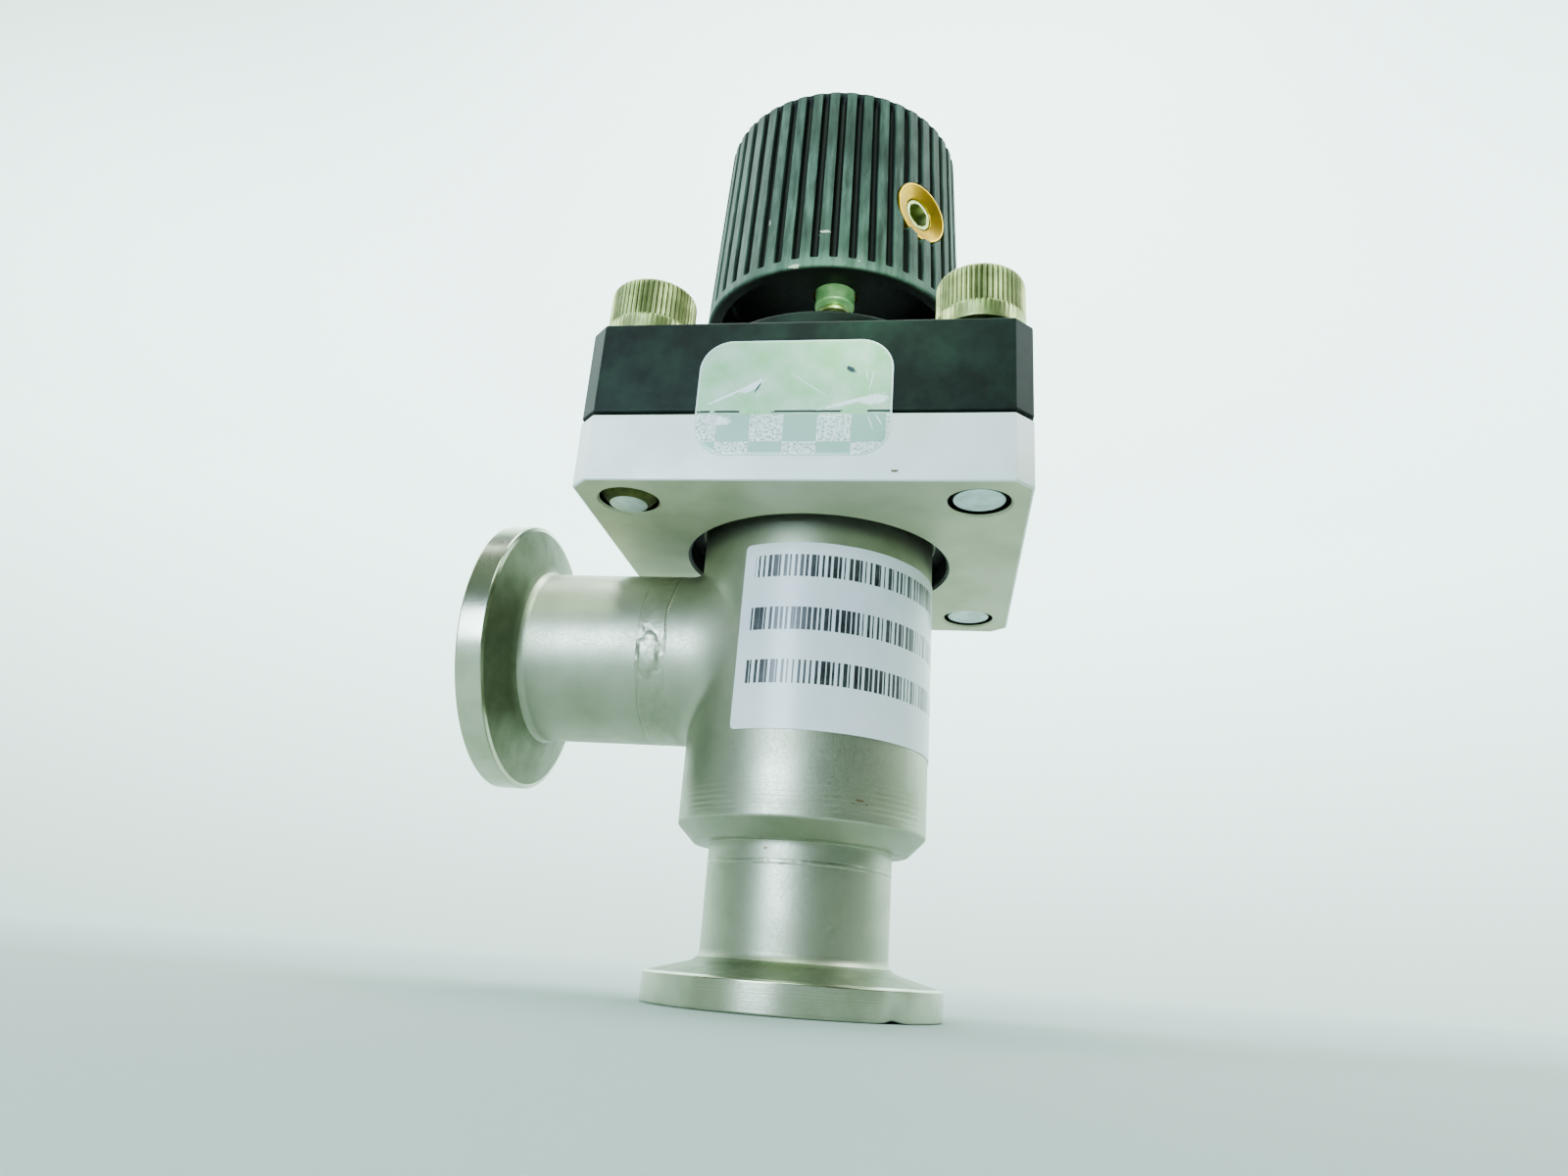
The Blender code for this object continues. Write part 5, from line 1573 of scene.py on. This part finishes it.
@dataclass
class BonnetSeal:
    """Bellows flange, O-ring and bellows between body and poppet."""

    flange_radius: float = 16.58
    flange_bore: float = 5.7
    flange_bottom: float = 53.0
    flange_top: float = 54.8
    fold_outer: float = 8.2
    fold_inner: float = 6.0
    wall: float = 0.3
    bellows_bottom: float = 30.6
    folds: int = 8

    def build(self) -> None:
        """Turn the flange and the ring, and make the bellows."""
        flange = turned_piece("bellows_flange", [
            (self.flange_bore, self.flange_bottom, 0.1), (self.flange_radius, self.flange_bottom, 0.1),
            (self.flange_radius, self.flange_top, 0.1), (self.flange_bore, self.flange_top, 0.1),
        ], TURNED_STAINLESS)
        settle(flange, Body.HOUSING, Slot.STAINLESS, "bellows_flange")
        ring = turned_piece("bonnet_o_ring", [
            (13.25, 51.52, 0.4), (14.55, 51.52, 0.4), (14.88, 52.25, 0.7), (14.55, 52.98, 0.4),
            (13.25, 52.98, 0.4), (12.92, 52.25, 0.7),
        ], SEAL_RUBBER)
        settle(ring, Body.HOUSING, Slot.RUBBER, "bonnet_o_ring")
        bellows = self._bellows()
        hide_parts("bellows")
        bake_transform(bellows)
        logger.info("built bellows, blended between housing and poppet")

    def _bellows(self) -> Piece:
        """Corrugated tube: radius = middle - swing * cos(turn), sharpened to flat-sided folds.

        Returns:
            The tube.
        """
        steps = np.linspace(0.0, 1.0, self.folds * 12 + 1)
        wave = np.cos(TURN * self.folds * steps)
        wave = np.sign(wave) * np.abs(wave) ** 0.6
        middle, swing = (self.fold_outer + self.fold_inner) / 2, (self.fold_outer - self.fold_inner) / 2
        height = self.bellows_bottom + (self.flange_bottom - self.bellows_bottom) * steps
        outside = np.stack([middle - swing * wave, height], axis=1)
        inside = outside[::-1] - np.array([self.wall, 0.0])
        surface = Surface().grid(spun(np.concatenate([outside, inside]), 72), around_rows=True)
        return surface.piece("bellows", [BRIGHT_SHEET], sharp_degrees=50.0)


@dataclass
class Poppet:
    """Closing disc with its ring, retainer and screw, and the shaft that lifts them."""

    face: float = 25.1
    back: float = 29.1
    ring_bottom: float = 24.6
    ring_top: float = 26.4
    disc_radius: float = 10.6
    hole_radius: float = 1.8
    ring_middle: float = 8.577
    ring_room: float = 1.3
    retainer_bottom: float = 23.9
    screw_radius: float = 1.5
    screw_head_radius: float = 2.8
    screw_head_bottom: float = 22.3
    screw_top: float = 34.1
    socket_flats: float = 2.0

    def build(self) -> None:
        """Turn each piece of the poppet."""
        inner, outer = self.ring_middle - self.ring_room, self.ring_middle + self.ring_room
        hole, bottom = self.hole_radius, self.retainer_bottom
        settle(turned_piece("poppet_disc", [
            (hole, self.face), (inner, self.face, 0.05), (inner, self.ring_top, 0.2),
            (outer, self.ring_top, 0.2), (outer, self.face, 0.05), (self.disc_radius, self.face, 0.35),
            (self.disc_radius, self.back, 0.2), (hole, self.back),
        ], TURNED_STAINLESS), Body.POPPET, Slot.STAINLESS, "poppet_disc")
        low, high, middle = self.ring_bottom, self.ring_top, (self.ring_bottom + self.ring_top) / 2
        settle(turned_piece("poppet_o_ring", [
            (self.ring_middle - 0.6, low, 0.5), (self.ring_middle + 0.6, low, 0.5),
            (self.ring_middle + 1.0, middle, 0.7), (self.ring_middle + 0.5, high, 0.4),
            (self.ring_middle - 0.5, high, 0.4), (self.ring_middle - 1.0, middle, 0.7),
        ], SEAL_RUBBER), Body.POPPET, Slot.RUBBER, "poppet_o_ring")
        rim = inner - 0.05
        settle(turned_piece("poppet_retainer", [
            (hole, bottom, 0.1), (rim - 0.6, bottom, 0.1), (rim, bottom + 0.6, 0.1), (rim, self.face),
            (hole, self.face),
        ], TURNED_STAINLESS), Body.POPPET, Slot.STAINLESS, "poppet_retainer")
        settle(self._screw(), Body.POPPET, Slot.FASTENER, "poppet_screw")

    def _screw(self) -> Piece:
        """Button screw with a hexagon socket that opens downwards.

        Returns:
            The screw.
        """
        angles = around(96)
        hexagon = hexagon_radius(angles, self.socket_flats)
        low, seat, top = self.screw_head_bottom, self.retainer_bottom, self.screw_top
        outside = profile([
            (2.0, low), (self.screw_head_radius, low, 0.35), (self.screw_head_radius, seat, 0.05),
            (self.screw_radius, seat, 0.05), (self.screw_radius, top, 0.2), (0.0, top),
        ])
        socket = [(0.0, low + 1.2), (hexagon, low + 1.0), (hexagon, low + 0.1),
                  (np.maximum(hexagon, 1.15), low)]
        return Surface().grid(stacked([*socket, *outside], angles)).piece("poppet_screw", [SCREW_STEEL])


@dataclass
class StemBushing:
    """Flanged bronze bushing that the stem climbs in."""

    bore: float = 2.6
    radius: float = 5.0
    flange_radius: float = 6.7
    bottom: float = 60.2
    flange_top: float = 62.0
    top: float = 71.45

    def build(self) -> None:
        """Turn the bushing from its profile."""
        bushing = turned_piece("stem_bushing", [
            (self.bore, self.bottom), (self.flange_radius, self.bottom, 0.1),
            (self.flange_radius, self.flange_top), (self.radius, self.flange_top),
            (self.radius, self.top, 0.25), (self.bore, self.top, 0.2),
        ], PLAIN_BRONZE)
        settle(bushing, Body.HOUSING, Slot.BRONZE, "stem_bushing")


@dataclass
class Stem:
    """Rising stem: button head in the shaft's slot, rolled thread, neck, and the collar in the insert."""

    bottom: float = 55.4
    head_radius: float = 2.0
    head_top: float = 56.6
    head_neck: float = 1.2
    rim_bottom: float = 59.8
    rim_radius: float = 2.55
    thread_radius: float = 2.3
    thread_bottom: float = 60.2
    thread_top: float = 81.4
    thread_pitch: float = 0.8
    thread_depth: float = 0.24
    run_out: float = 0.6
    neck_radius: float = 1.4
    collar_bottom: float = 82.3
    collar_radius: float = 2.5
    top: float = 94.5
    columns: int = 72

    def build(self) -> None:
        """Spin the plain parts and ride a helix along the thread.

        The thread's radius dips as depth * |2 * fraction - 1| of height / pitch - angle / turn, a V thread.
        """
        angles = around(self.columns)
        foot = profile([
            (0.0, self.bottom), (self.head_radius, self.bottom, 0.1), (self.head_radius, self.head_top, 0.1),
            (self.head_neck, self.head_top), (self.head_neck, self.rim_bottom),
            (self.rim_radius, self.rim_bottom, 0.05), (self.rim_radius, self.rim_bottom + 0.2, 0.05),
            (2.0, self.rim_bottom + 0.35),
        ])
        upper = profile([
            (self.thread_radius - 0.05, self.thread_top - 0.05), (self.neck_radius, self.thread_top),
            (self.neck_radius, self.collar_bottom), (self.collar_radius, self.collar_bottom, 0.25),
            (self.collar_radius, self.top, 0.2), (0.0, self.top),
        ])
        stop = self.thread_top - self.run_out / 2
        heights = np.arange(self.thread_bottom, stop, 0.1)[:, None]
        phase = np.mod(heights / self.thread_pitch - angles / TURN, 1.0)
        ends = np.clip(np.minimum(heights - self.thread_bottom, stop - heights) / self.run_out, 0.0, 1.0)
        radius = self.thread_radius - self.thread_depth * (1.0 - (1.0 - np.abs(2.0 * phase - 1.0)) * ends)
        rows = [spun(foot, self.columns), polar(radius, angles, heights), spun(upper[:3], self.columns)]
        # The collar takes finish 1, its painted light.
        surface = Surface().grid(np.concatenate(rows)).grid(spun(upper[2:], self.columns), finish=1)
        piece = surface.piece("stem", [SCREW_STEEL, DULL_COLLAR], sharp_degrees=50.0)
        settle(piece, Body.KNOB, Slot.FASTENER, "stem")


@dataclass
class Knob:
    """Fluted, slightly tapered phenolic knob: plain lip, flat ribs, round-bottomed grooves, hollow below."""

    bottom: float = 77.1
    height: float = 25.8
    low_radius: float = 15.6
    high_radius: float = 14.6
    mouth_radius: float = 14.0
    ceiling: float = 84.1
    eye_radius: float = 2.8
    hub_radius: float = 5.3
    hub_bottom: float = 84.4
    hub_top: float = 96.1
    flutes: int = 45
    flute_depth: float = 0.75
    flute_share: float = 0.46
    flute_phase_degrees: float = -2.5
    lip: float = 1.1
    boss_radius: float = 3.85
    insert_reach: float = 20.0

    def _dips(self) -> tuple[np.ndarray, np.ndarray]:
        """Lay out the flutes once round the knob.

        Across a groove the depth is (1 - u ** 4) ** 0.6 for u from -1 to 1: steep sides, rounded bottom.

        Returns:
            The angles, and how deep the flute is at each, from 0 on a rib to 1.
        """
        across = np.array([-1.0, -0.93, -0.75, -0.4, 0.0, 0.4, 0.75, 0.93, 1.0])
        rib = np.array([1.12, 1.45, 1.8, 2.17, 2.54, 2.9, 3.22])
        half = TURN / self.flutes * self.flute_share / 2
        offsets = np.concatenate([across, rib]) * half
        depth = np.concatenate([(1.0 - np.abs(across) ** 4) ** 0.6, np.zeros(len(rib))])
        middles = math.radians(self.flute_phase_degrees) - math.pi / 2 + around(self.flutes)
        return (middles[:, None] + offsets).ravel(), np.tile(depth, self.flutes)

    def _outer(self, height: float | np.ndarray) -> float | np.ndarray:
        """Radius of the ribs at a height above the lower edge: a straight taper."""
        return self.low_radius + (self.high_radius - self.low_radius) * height / self.height

    def _sunk(self, points: np.ndarray) -> np.ndarray:
        """How deep each point lies in a flute; the hollow counts as a groove, so it is painted black as
        shade.

        Args:
            points: the knob's points.

        Returns:
            The depth, from 0 on a rib to 1.
        """
        height = points[:, 2] - self.bottom
        radius = np.hypot(points[:, 0], points[:, 1])
        depth = (self._outer(height) - radius) / self.flute_depth
        inside = (radius < self.mouth_radius + 0.2) & (height < self.height - 1.5)
        flat_top = height > self.height - 0.3
        return np.where(inside, 1.0, np.where(flat_top, 0.46, np.clip(depth, 0.0, 1.0)))

    def build(self) -> None:
        """Stack rings from the hollow up the fluted side and over the top, then open the side hole."""
        angles, dips = self._dips()
        top = self.height
        lip = self.lip
        stations = [(0.0, 0.32, 0.0), (0.05, 0.12, 0.0), (0.16, 0.03, 0.0), (0.3, 0.0, 0.0),
                    (lip - 0.1, 0.0, 0.0), (lip, 0.0, 0.02), (lip + 0.12, 0.0, 0.2), (lip + 0.28, 0.0, 0.55),
                    (lip + 0.45, 0.0, 0.85), (lip + 0.65, 0.0, 1.0)]
        stations += [(z, 0.0, 1.0) for z in np.linspace(lip + 1.2, top - 1.6, 22)]
        stations += [(top - 1.2, 0.0, 1.0), (top - 0.85, 0.0, 0.86), (top - 0.6, 0.0, 0.66),
                     (top - 0.38, 0.0, 0.46), (top - 0.2, 0.0, 0.3), (top - 0.08, 0.03, 0.2),
                     (top - 0.02, 0.08, 0.14), (top, 0.16, 0.1), (top, 0.4, 0.0)]
        side = [(self._outer(z) - inset - share * self.flute_depth * dips, z) for z, inset, share in stations]
        crown = [(radius, top) for radius in (12.6, 9.0, 4.0, 0.0)]
        ceiling = self.ceiling - self.bottom
        hub_bottom, hub_top = self.hub_bottom - self.bottom, self.hub_top - self.bottom
        hollow = profile([
            (self.mouth_radius + 0.15, 0.0), (self.mouth_radius, 0.15, 0.1),
            (self.mouth_radius - 0.2, ceiling, 0.6), (self.eye_radius, ceiling, 0.1),
            (self.eye_radius, hub_bottom), (self.hub_radius, hub_bottom), (self.hub_radius, hub_top),
            (0.0, hub_top),
        ])
        grid = stacked([*hollow[::-1], *side, *crown], angles) + np.array([0.0, 0.0, self.bottom])
        knob = Surface().grid(grid).piece("knob", [WORN_PHENOLIC], attributes={"groove": self._sunk})
        pocket = turned_piece("pocket_tool", [
            (0.0, 0.0), (self.boss_radius, 0.0), (self.boss_radius, self.insert_reach),
            (0.0, self.insert_reach),
        ], WORN_PHENOLIC, closed=False, place=along_set_screw(0.0))
        cut(knob, pocket, sharp_degrees=38.0)
        settle(knob, Body.KNOB, Slot.PHENOLIC, "knob")


@dataclass
class KnobInsert:
    """Brass insert with its side boss, and the socket set screw in it."""

    hub_radius: float = 5.2
    hub_bottom: float = 84.5
    hub_top: float = 96.0
    boss_radius: float = 3.75
    boss_reach: float = 14.95
    bore_radius: float = 2.8
    bore_top: float = 94.8
    thread_radius: float = 2.0
    dish_radius: float = 3.55
    dish_depth: float = 0.5
    screw_radius: float = 1.95
    screw_recess: float = 0.6
    socket_flats: float = 2.7
    socket_depth: float = 2.2

    def build(self) -> None:
        """Join the hub and the boss ring with its dished mouth, bore for the stem, and make the set screw."""
        hub = turned_piece("knob_insert", [
            (0.0, self.hub_bottom), (self.hub_radius, self.hub_bottom, 0.1),
            (self.hub_radius, self.hub_top, 0.1), (0.0, self.hub_top)], TURNED_BRASS, closed=False)
        boss = turned_piece("boss_tool", [
            (self.thread_radius, self.hub_radius + 0.8), (self.boss_radius, self.hub_radius - 0.6),
            (self.boss_radius, self.boss_reach, 0.12), (self.dish_radius, self.boss_reach, 0.1),
            (self.thread_radius, self.boss_reach - self.dish_depth, 0.2)],
            TURNED_BRASS, place=along_set_screw(0.0))
        cut(hub, boss, "UNION")
        below = self.hub_bottom - 4.5
        stem_bore = turned_piece("bore_tool", [
            (0.0, below), (self.bore_radius, below), (self.bore_radius, self.bore_top), (0.0, self.bore_top)],
            TURNED_BRASS, closed=False)
        cut(hub, stem_bore)
        settle(hub, Body.KNOB, Slot.BRASS, "knob_insert")
        self._set_screw()

    def _set_screw(self) -> None:
        """Set screw with a pointed tip and a hexagon socket that faces outwards."""
        start = self.hub_radius + 0.3
        length = self.boss_reach - self.screw_recess - start
        angles = around(96)
        body = profile([(0.0, 0.0), (1.0, 0.0, 0.1), (self.screw_radius, 1.0, 0.1),
                        (self.screw_radius, length, 0.25), (1.6, length)])
        hexagon = hexagon_radius(angles, self.socket_flats)
        floor = length - self.socket_depth
        socket = [(np.maximum(hexagon, 1.45), length), (hexagon, length - 0.15), (hexagon, floor),
                  (0.0, floor - 0.4)]
        surface = Surface().grid(stacked([*body, *socket], angles))
        piece = surface.piece("set_screw", [SCREW_STEEL], along_set_screw(start))
        settle(piece, Body.KNOB, Slot.FASTENER, "set_screw")


@dataclass
class BodyLabel:
    """White label wrapped around the body, stuck on a little crooked."""

    radius: float = 12.955
    thickness: float = 0.1
    width: float = 31.75
    height: float = 19.4
    start_degrees: float = -28.3
    middle: float = 35.1
    tilt_degrees: float = 0.6
    corner: float = 0.5

    def _flat_place(self, points: np.ndarray) -> np.ndarray:
        """Place on the flat label in metres.

        Args:
            points: the label's points.

        Returns:
            The places from the top left corner, X along the label and Y down it.
        """
        arc = np.angle(np.exp(1j * (np.arctan2(points[:, 1], points[:, 0]) + math.pi / 2))) * self.radius
        along = arc - math.radians(self.start_degrees) * self.radius - self.width / 2
        up = points[:, 2] - self.middle
        tilt = math.radians(self.tilt_degrees)
        flat_along = along * math.cos(tilt) - up * math.sin(tilt) + self.width / 2
        flat_up = along * math.sin(tilt) + up * math.cos(tilt)
        return np.stack([flat_along, self.height / 2 - flat_up, 0.0 * along], axis=1) * MM

    def build(self) -> None:
        """Bend a flat rounded rectangle round the body: angle = arc length / radius.

        The rectangle's rows run from its lower to its upper edge, drawn in at the corners as a quarter
        circle, and the sheet's edge drops to the body all round.
        """
        near = np.array([0.0, 0.1, 0.3])
        even = np.linspace(0.0, 1.0, 33)[1:-1] * self.height
        up = np.unique(np.concatenate([near, even, self.height - near]))
        into_corner = np.maximum(self.corner - np.minimum(up, self.height - up), 0.0)
        drawn_in = self.corner - np.sqrt(np.maximum(self.corner ** 2 - into_corner ** 2, 0.0))
        along = np.linspace(-1.0, 1.0, 97)[None, :] * (self.width / 2 - drawn_in[:, None])
        up = (up - self.height / 2)[:, None] + 0.0 * along
        tilt = math.radians(self.tilt_degrees)
        turned_along = along * math.cos(tilt) + up * math.sin(tilt)
        turned_up = -along * math.sin(tilt) + up * math.cos(tilt)
        angle = math.radians(self.start_degrees - 90.0) + (turned_along + self.width / 2) / self.radius
        inner, outer = (polar(radius, angle, self.middle + turned_up)
                        for radius in (self.radius, self.radius + self.thickness))
        rims = [np.concatenate([grid[0], grid[1:, -1], grid[-1, -2::-1], grid[-2:0:-1, 0]])
                for grid in (inner, outer)]
        surface = Surface().grid(outer, around_columns=False).grid(inner, around_columns=False)
        surface.grid(np.stack(rims))
        piece = surface.piece("body_label", [LABEL_PAPER], attributes={"print": self._flat_place})
        settle(piece, Body.HOUSING, Slot.PAPER, "body_label")


@dataclass
class SealLabel:
    """Silver film label across the joint of the plates."""

    width: float = 19.3
    height: float = 12.8
    corner: float = 3.3
    centre_x: float = -0.6
    centre_z: float = 56.3
    wall_y: float = -22.5
    thickness: float = 0.1
    joint_depth: float = 0.05
    joint_half_width: float = 0.22

    def _flat_place(self, points: np.ndarray) -> np.ndarray:
        """Place on the label in metres from its centre, X to the right and Y up."""
        right, up = points[:, 0] - self.centre_x, points[:, 2] - self.centre_z
        return np.stack([right, up, 0.0 * right], axis=1) * MM

    def build(self) -> None:
        """Shrink the rounded outline towards the centre in rings, with a shallow dip along the joint."""
        half_w, half_h = self.width / 2, self.height / 2
        quarter = np.linspace(0.0, math.pi / 2, 13)
        corners = []
        for number, (side_x, side_z) in enumerate(((1, 1), (-1, 1), (-1, -1), (1, -1))):
            turn = quarter + number * math.pi / 2
            corners.append(np.stack([side_x * (half_w - self.corner) + self.corner * np.cos(turn),
                                     side_z * (half_h - self.corner) + self.corner * np.sin(turn)], axis=1))
        outline = np.concatenate(corners)
        ends = np.roll(outline, -1, axis=0)
        share = np.linspace(0.0, 1.0, 5)[:-1]
        outline = (outline[:, None, :] + share[None, :, None] * (ends - outline)[:, None, :]).reshape(-1, 2)
        scale = np.array([1.0, 0.995, 0.984, 0.94, 0.88, 0.8, 0.7, 0.6, 0.5, 0.4, 0.3, 0.2, 0.1, 0.0])
        scale = scale[:, None, None]
        flat = outline * scale
        dip = self.joint_depth * np.exp(-(((flat[..., 1] - JOINT_ON_LABEL) / self.joint_half_width) ** 2))
        lift = self.thickness - np.where(scale[..., 0] < 0.99, dip, 0.03)
        x, z = flat[..., 0] + self.centre_x, flat[..., 1] + self.centre_z
        front = np.stack([x, self.wall_y - lift, z], axis=-1)
        back = np.stack([x, self.wall_y + 0.0 * lift, z], axis=-1)
        surface = Surface().grid(front[:3], finish=1).grid(front[2:])
        surface.grid(np.stack([front[0], back[0]]), finish=1).grid(back)
        piece = surface.piece("seal_label", [LABEL_FOIL, FILM_EDGE], attributes={"print": self._flat_place})
        settle(piece, Body.HOUSING, Slot.FOIL, "seal_label")


# The room


@dataclass
class Studio:
    """Pale floor that sweeps up into a round wall, soft lights, and the camera at the photograph's angle.

    The room's sizes are in metres.
    """

    floor_radius: float = 0.5
    sweep: float = 0.45
    wall_top: float = 1.7
    floor_gap: float = 0.00004
    world_colour: str = "E4EAEE"
    world_strength: float = 0.1
    lens_mm: float = 23.7
    camera_mm: tuple[float, float, float] = (20.18, -109.69, 4.35)
    azimuth_degrees: float = -9.22
    elevation_degrees: float = 19.94
    roll_degrees: float = 4.27

    def build(self) -> None:
        """Make the backdrop, the lights, the world and the camera."""
        self._backdrop()
        self._lights()
        self._world()
        self._camera()

    def _backdrop(self) -> None:
        """Spin a flat floor, a quarter circle and an upright wall."""
        turn = np.linspace(0.0, math.pi / 2, 25)
        floor = np.array([[0.0, 0.0], [0.1, 0.0], [0.3, 0.0]])
        reach, rise = self.floor_radius + self.sweep * np.sin(turn), self.sweep * (1 - np.cos(turn))
        wall_reach = self.floor_radius + self.sweep
        wall = np.array([[wall_reach, 0.9], [wall_reach, self.wall_top]])
        section = np.concatenate([floor, np.stack([reach, rise], axis=1), wall])
        grid = spun(section, 96) - np.array([0.0, 0.0, self.floor_gap])
        mesh = bpy.data.meshes.new("backdrop")
        mesh.from_pydata(grid.reshape(-1, 3), [], quads_of(*grid.shape[:2]).tolist())
        mesh.shade_smooth()
        mesh.materials.append(BACKDROP.material())
        backdrop = bpy.data.objects.new("backdrop", mesh)
        bpy.context.scene.collection.objects.link(backdrop)
        backdrop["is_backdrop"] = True

    def _lights(self) -> None:
        """Soft boxes: left of the camera, high behind it, a small one near it, three on the backdrop."""
        behind = (0.0, 0.95, 0.35)
        for name, place, target, size, power, spread_degrees, colour in (
            ("key_box", (-0.125, -0.375, 0.10), (0.0, 0.0, 0.045), 0.15, 1.9, 180.0, "CDE8FF"),
            ("high_front_box", (-0.05, -0.45, 0.75), (0.0, 0.0, 0.05), 0.35, 4.2, 180.0, "D8FFE2"),
            ("low_front_box", (0.03, -0.105, 0.008), (0.006, 0.0, 0.083), 0.012, 0.0016, 11.0, "D8FFE0"),
            ("top_box", (0.0, 0.3, 1.3), (0.0, 0.95, 0.5), 0.8, 28.0, 145.0, "EEFCFC"),
            ("back_left_box", (-0.6, 0.1, 0.6), behind, 0.5, 12.0, 145.0, "EEFCFC"),
            ("back_right_box", (0.6, 0.1, 0.6), behind, 0.5, 12.0, 145.0, "EEFCFC"),
        ):
            lamp = bpy.data.lights.new(name, "AREA")
            lamp.shape = "SQUARE"
            lamp.size = size
            lamp.energy = power
            lamp.spread = math.radians(spread_degrees)
            lamp.color = linear(colour)[:3]
            light = bpy.data.objects.new(name, lamp)
            light.location = place
            light.rotation_mode = "QUATERNION"
            light.rotation_quaternion = (Vector(place) - Vector(target)).to_track_quat("Z", "Y")
            light.visible_camera = False
            bpy.context.scene.collection.objects.link(light)

    def _world(self) -> None:
        """Even pale light from above the wall."""
        world = bpy.data.worlds.new("studio_world")
        world.use_nodes = True
        background = world.node_tree.nodes["Background"]
        background.inputs["Color"].default_value = linear(self.world_colour)
        background.inputs["Strength"].default_value = self.world_strength
        bpy.context.scene.world = world

    def _camera(self) -> None:
        """Place the camera from its aim: forward from azimuth and elevation, then roll about it."""
        azimuth, elevation = math.radians(self.azimuth_degrees), math.radians(self.elevation_degrees)
        roll = math.radians(self.roll_degrees)
        forward = np.array([math.sin(azimuth) * math.cos(elevation), math.cos(azimuth) * math.cos(elevation),
                            math.sin(elevation)])
        level = np.array([math.cos(azimuth), -math.sin(azimuth), 0.0])
        rise = np.cross(level, forward)
        right = math.cos(roll) * level + math.sin(roll) * rise
        up = np.cross(right, forward)
        lens = bpy.data.cameras.new("camera")
        lens.sensor_fit = "HORIZONTAL"
        lens.sensor_width = 36.0
        lens.lens = self.lens_mm
        lens.clip_start = 0.005
        lens.clip_end = 20.0
        camera = bpy.data.objects.new("camera", lens)
        turn = Matrix(np.stack([right, up, -forward], axis=1).tolist()).to_4x4()
        camera.matrix_world = Matrix.Translation(np.array(self.camera_mm) * MM) @ turn
        bpy.context.scene.collection.objects.link(camera)
        bpy.context.scene.camera = camera


def dress_hidden_nodes(nodes: dict[str, Piece]) -> None:
    """Give the CAD nodes that stay their finishes.

    Args:
        nodes: the frame's CAD nodes by name.
    """
    for name, finish in (("poppet_shaft", TURNED_STAINLESS), ("thrust_washer", PLAIN_BRONZE)):
        node = nodes[name]
        node.data.materials.clear()
        node.data.materials.append(finish.material())
        logger.info("dressed %s", name)


def as_lists(box: tuple) -> list[list[float]]:
    """Both corners of a box as plain lists."""
    return [[float(value) for value in corner] for corner in box]


def main(nodes: dict[str, Piece], cad_box: tuple) -> None:
    """Build every sub-assembly in order.

    Args:
        nodes: the frame's CAD nodes by name.
        cad_box: the CAD box, from straight after loading; it is not used.
    """
    stubs = (PortStub("bottom_port_stub", 13.2, nicked=True),
             PortStub("side_port_stub", 17.35, along_branch(SIDE_REACH), lathe_branch))
    screws = (CapScrew(place) for place in SCREW_PLACES)
    for assembly in (*stubs, BottomWeld(), SideWeld(), ValveBody(), ClampPlate(), Bonnet(), *screws,
                     BonnetSeal(), Poppet(), StemBushing(), Stem(), Knob(), KnobInsert(), BodyLabel(),
                     SealLabel()):
        assembly.build()
    dress_hidden_nodes(nodes)
    Studio().build()


if __name__ == "__main__":
    logging.basicConfig(level=logging.INFO, format="%(name)s: %(message)s")
    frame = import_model()
    main(frame["nodes"], as_lists(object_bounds()))
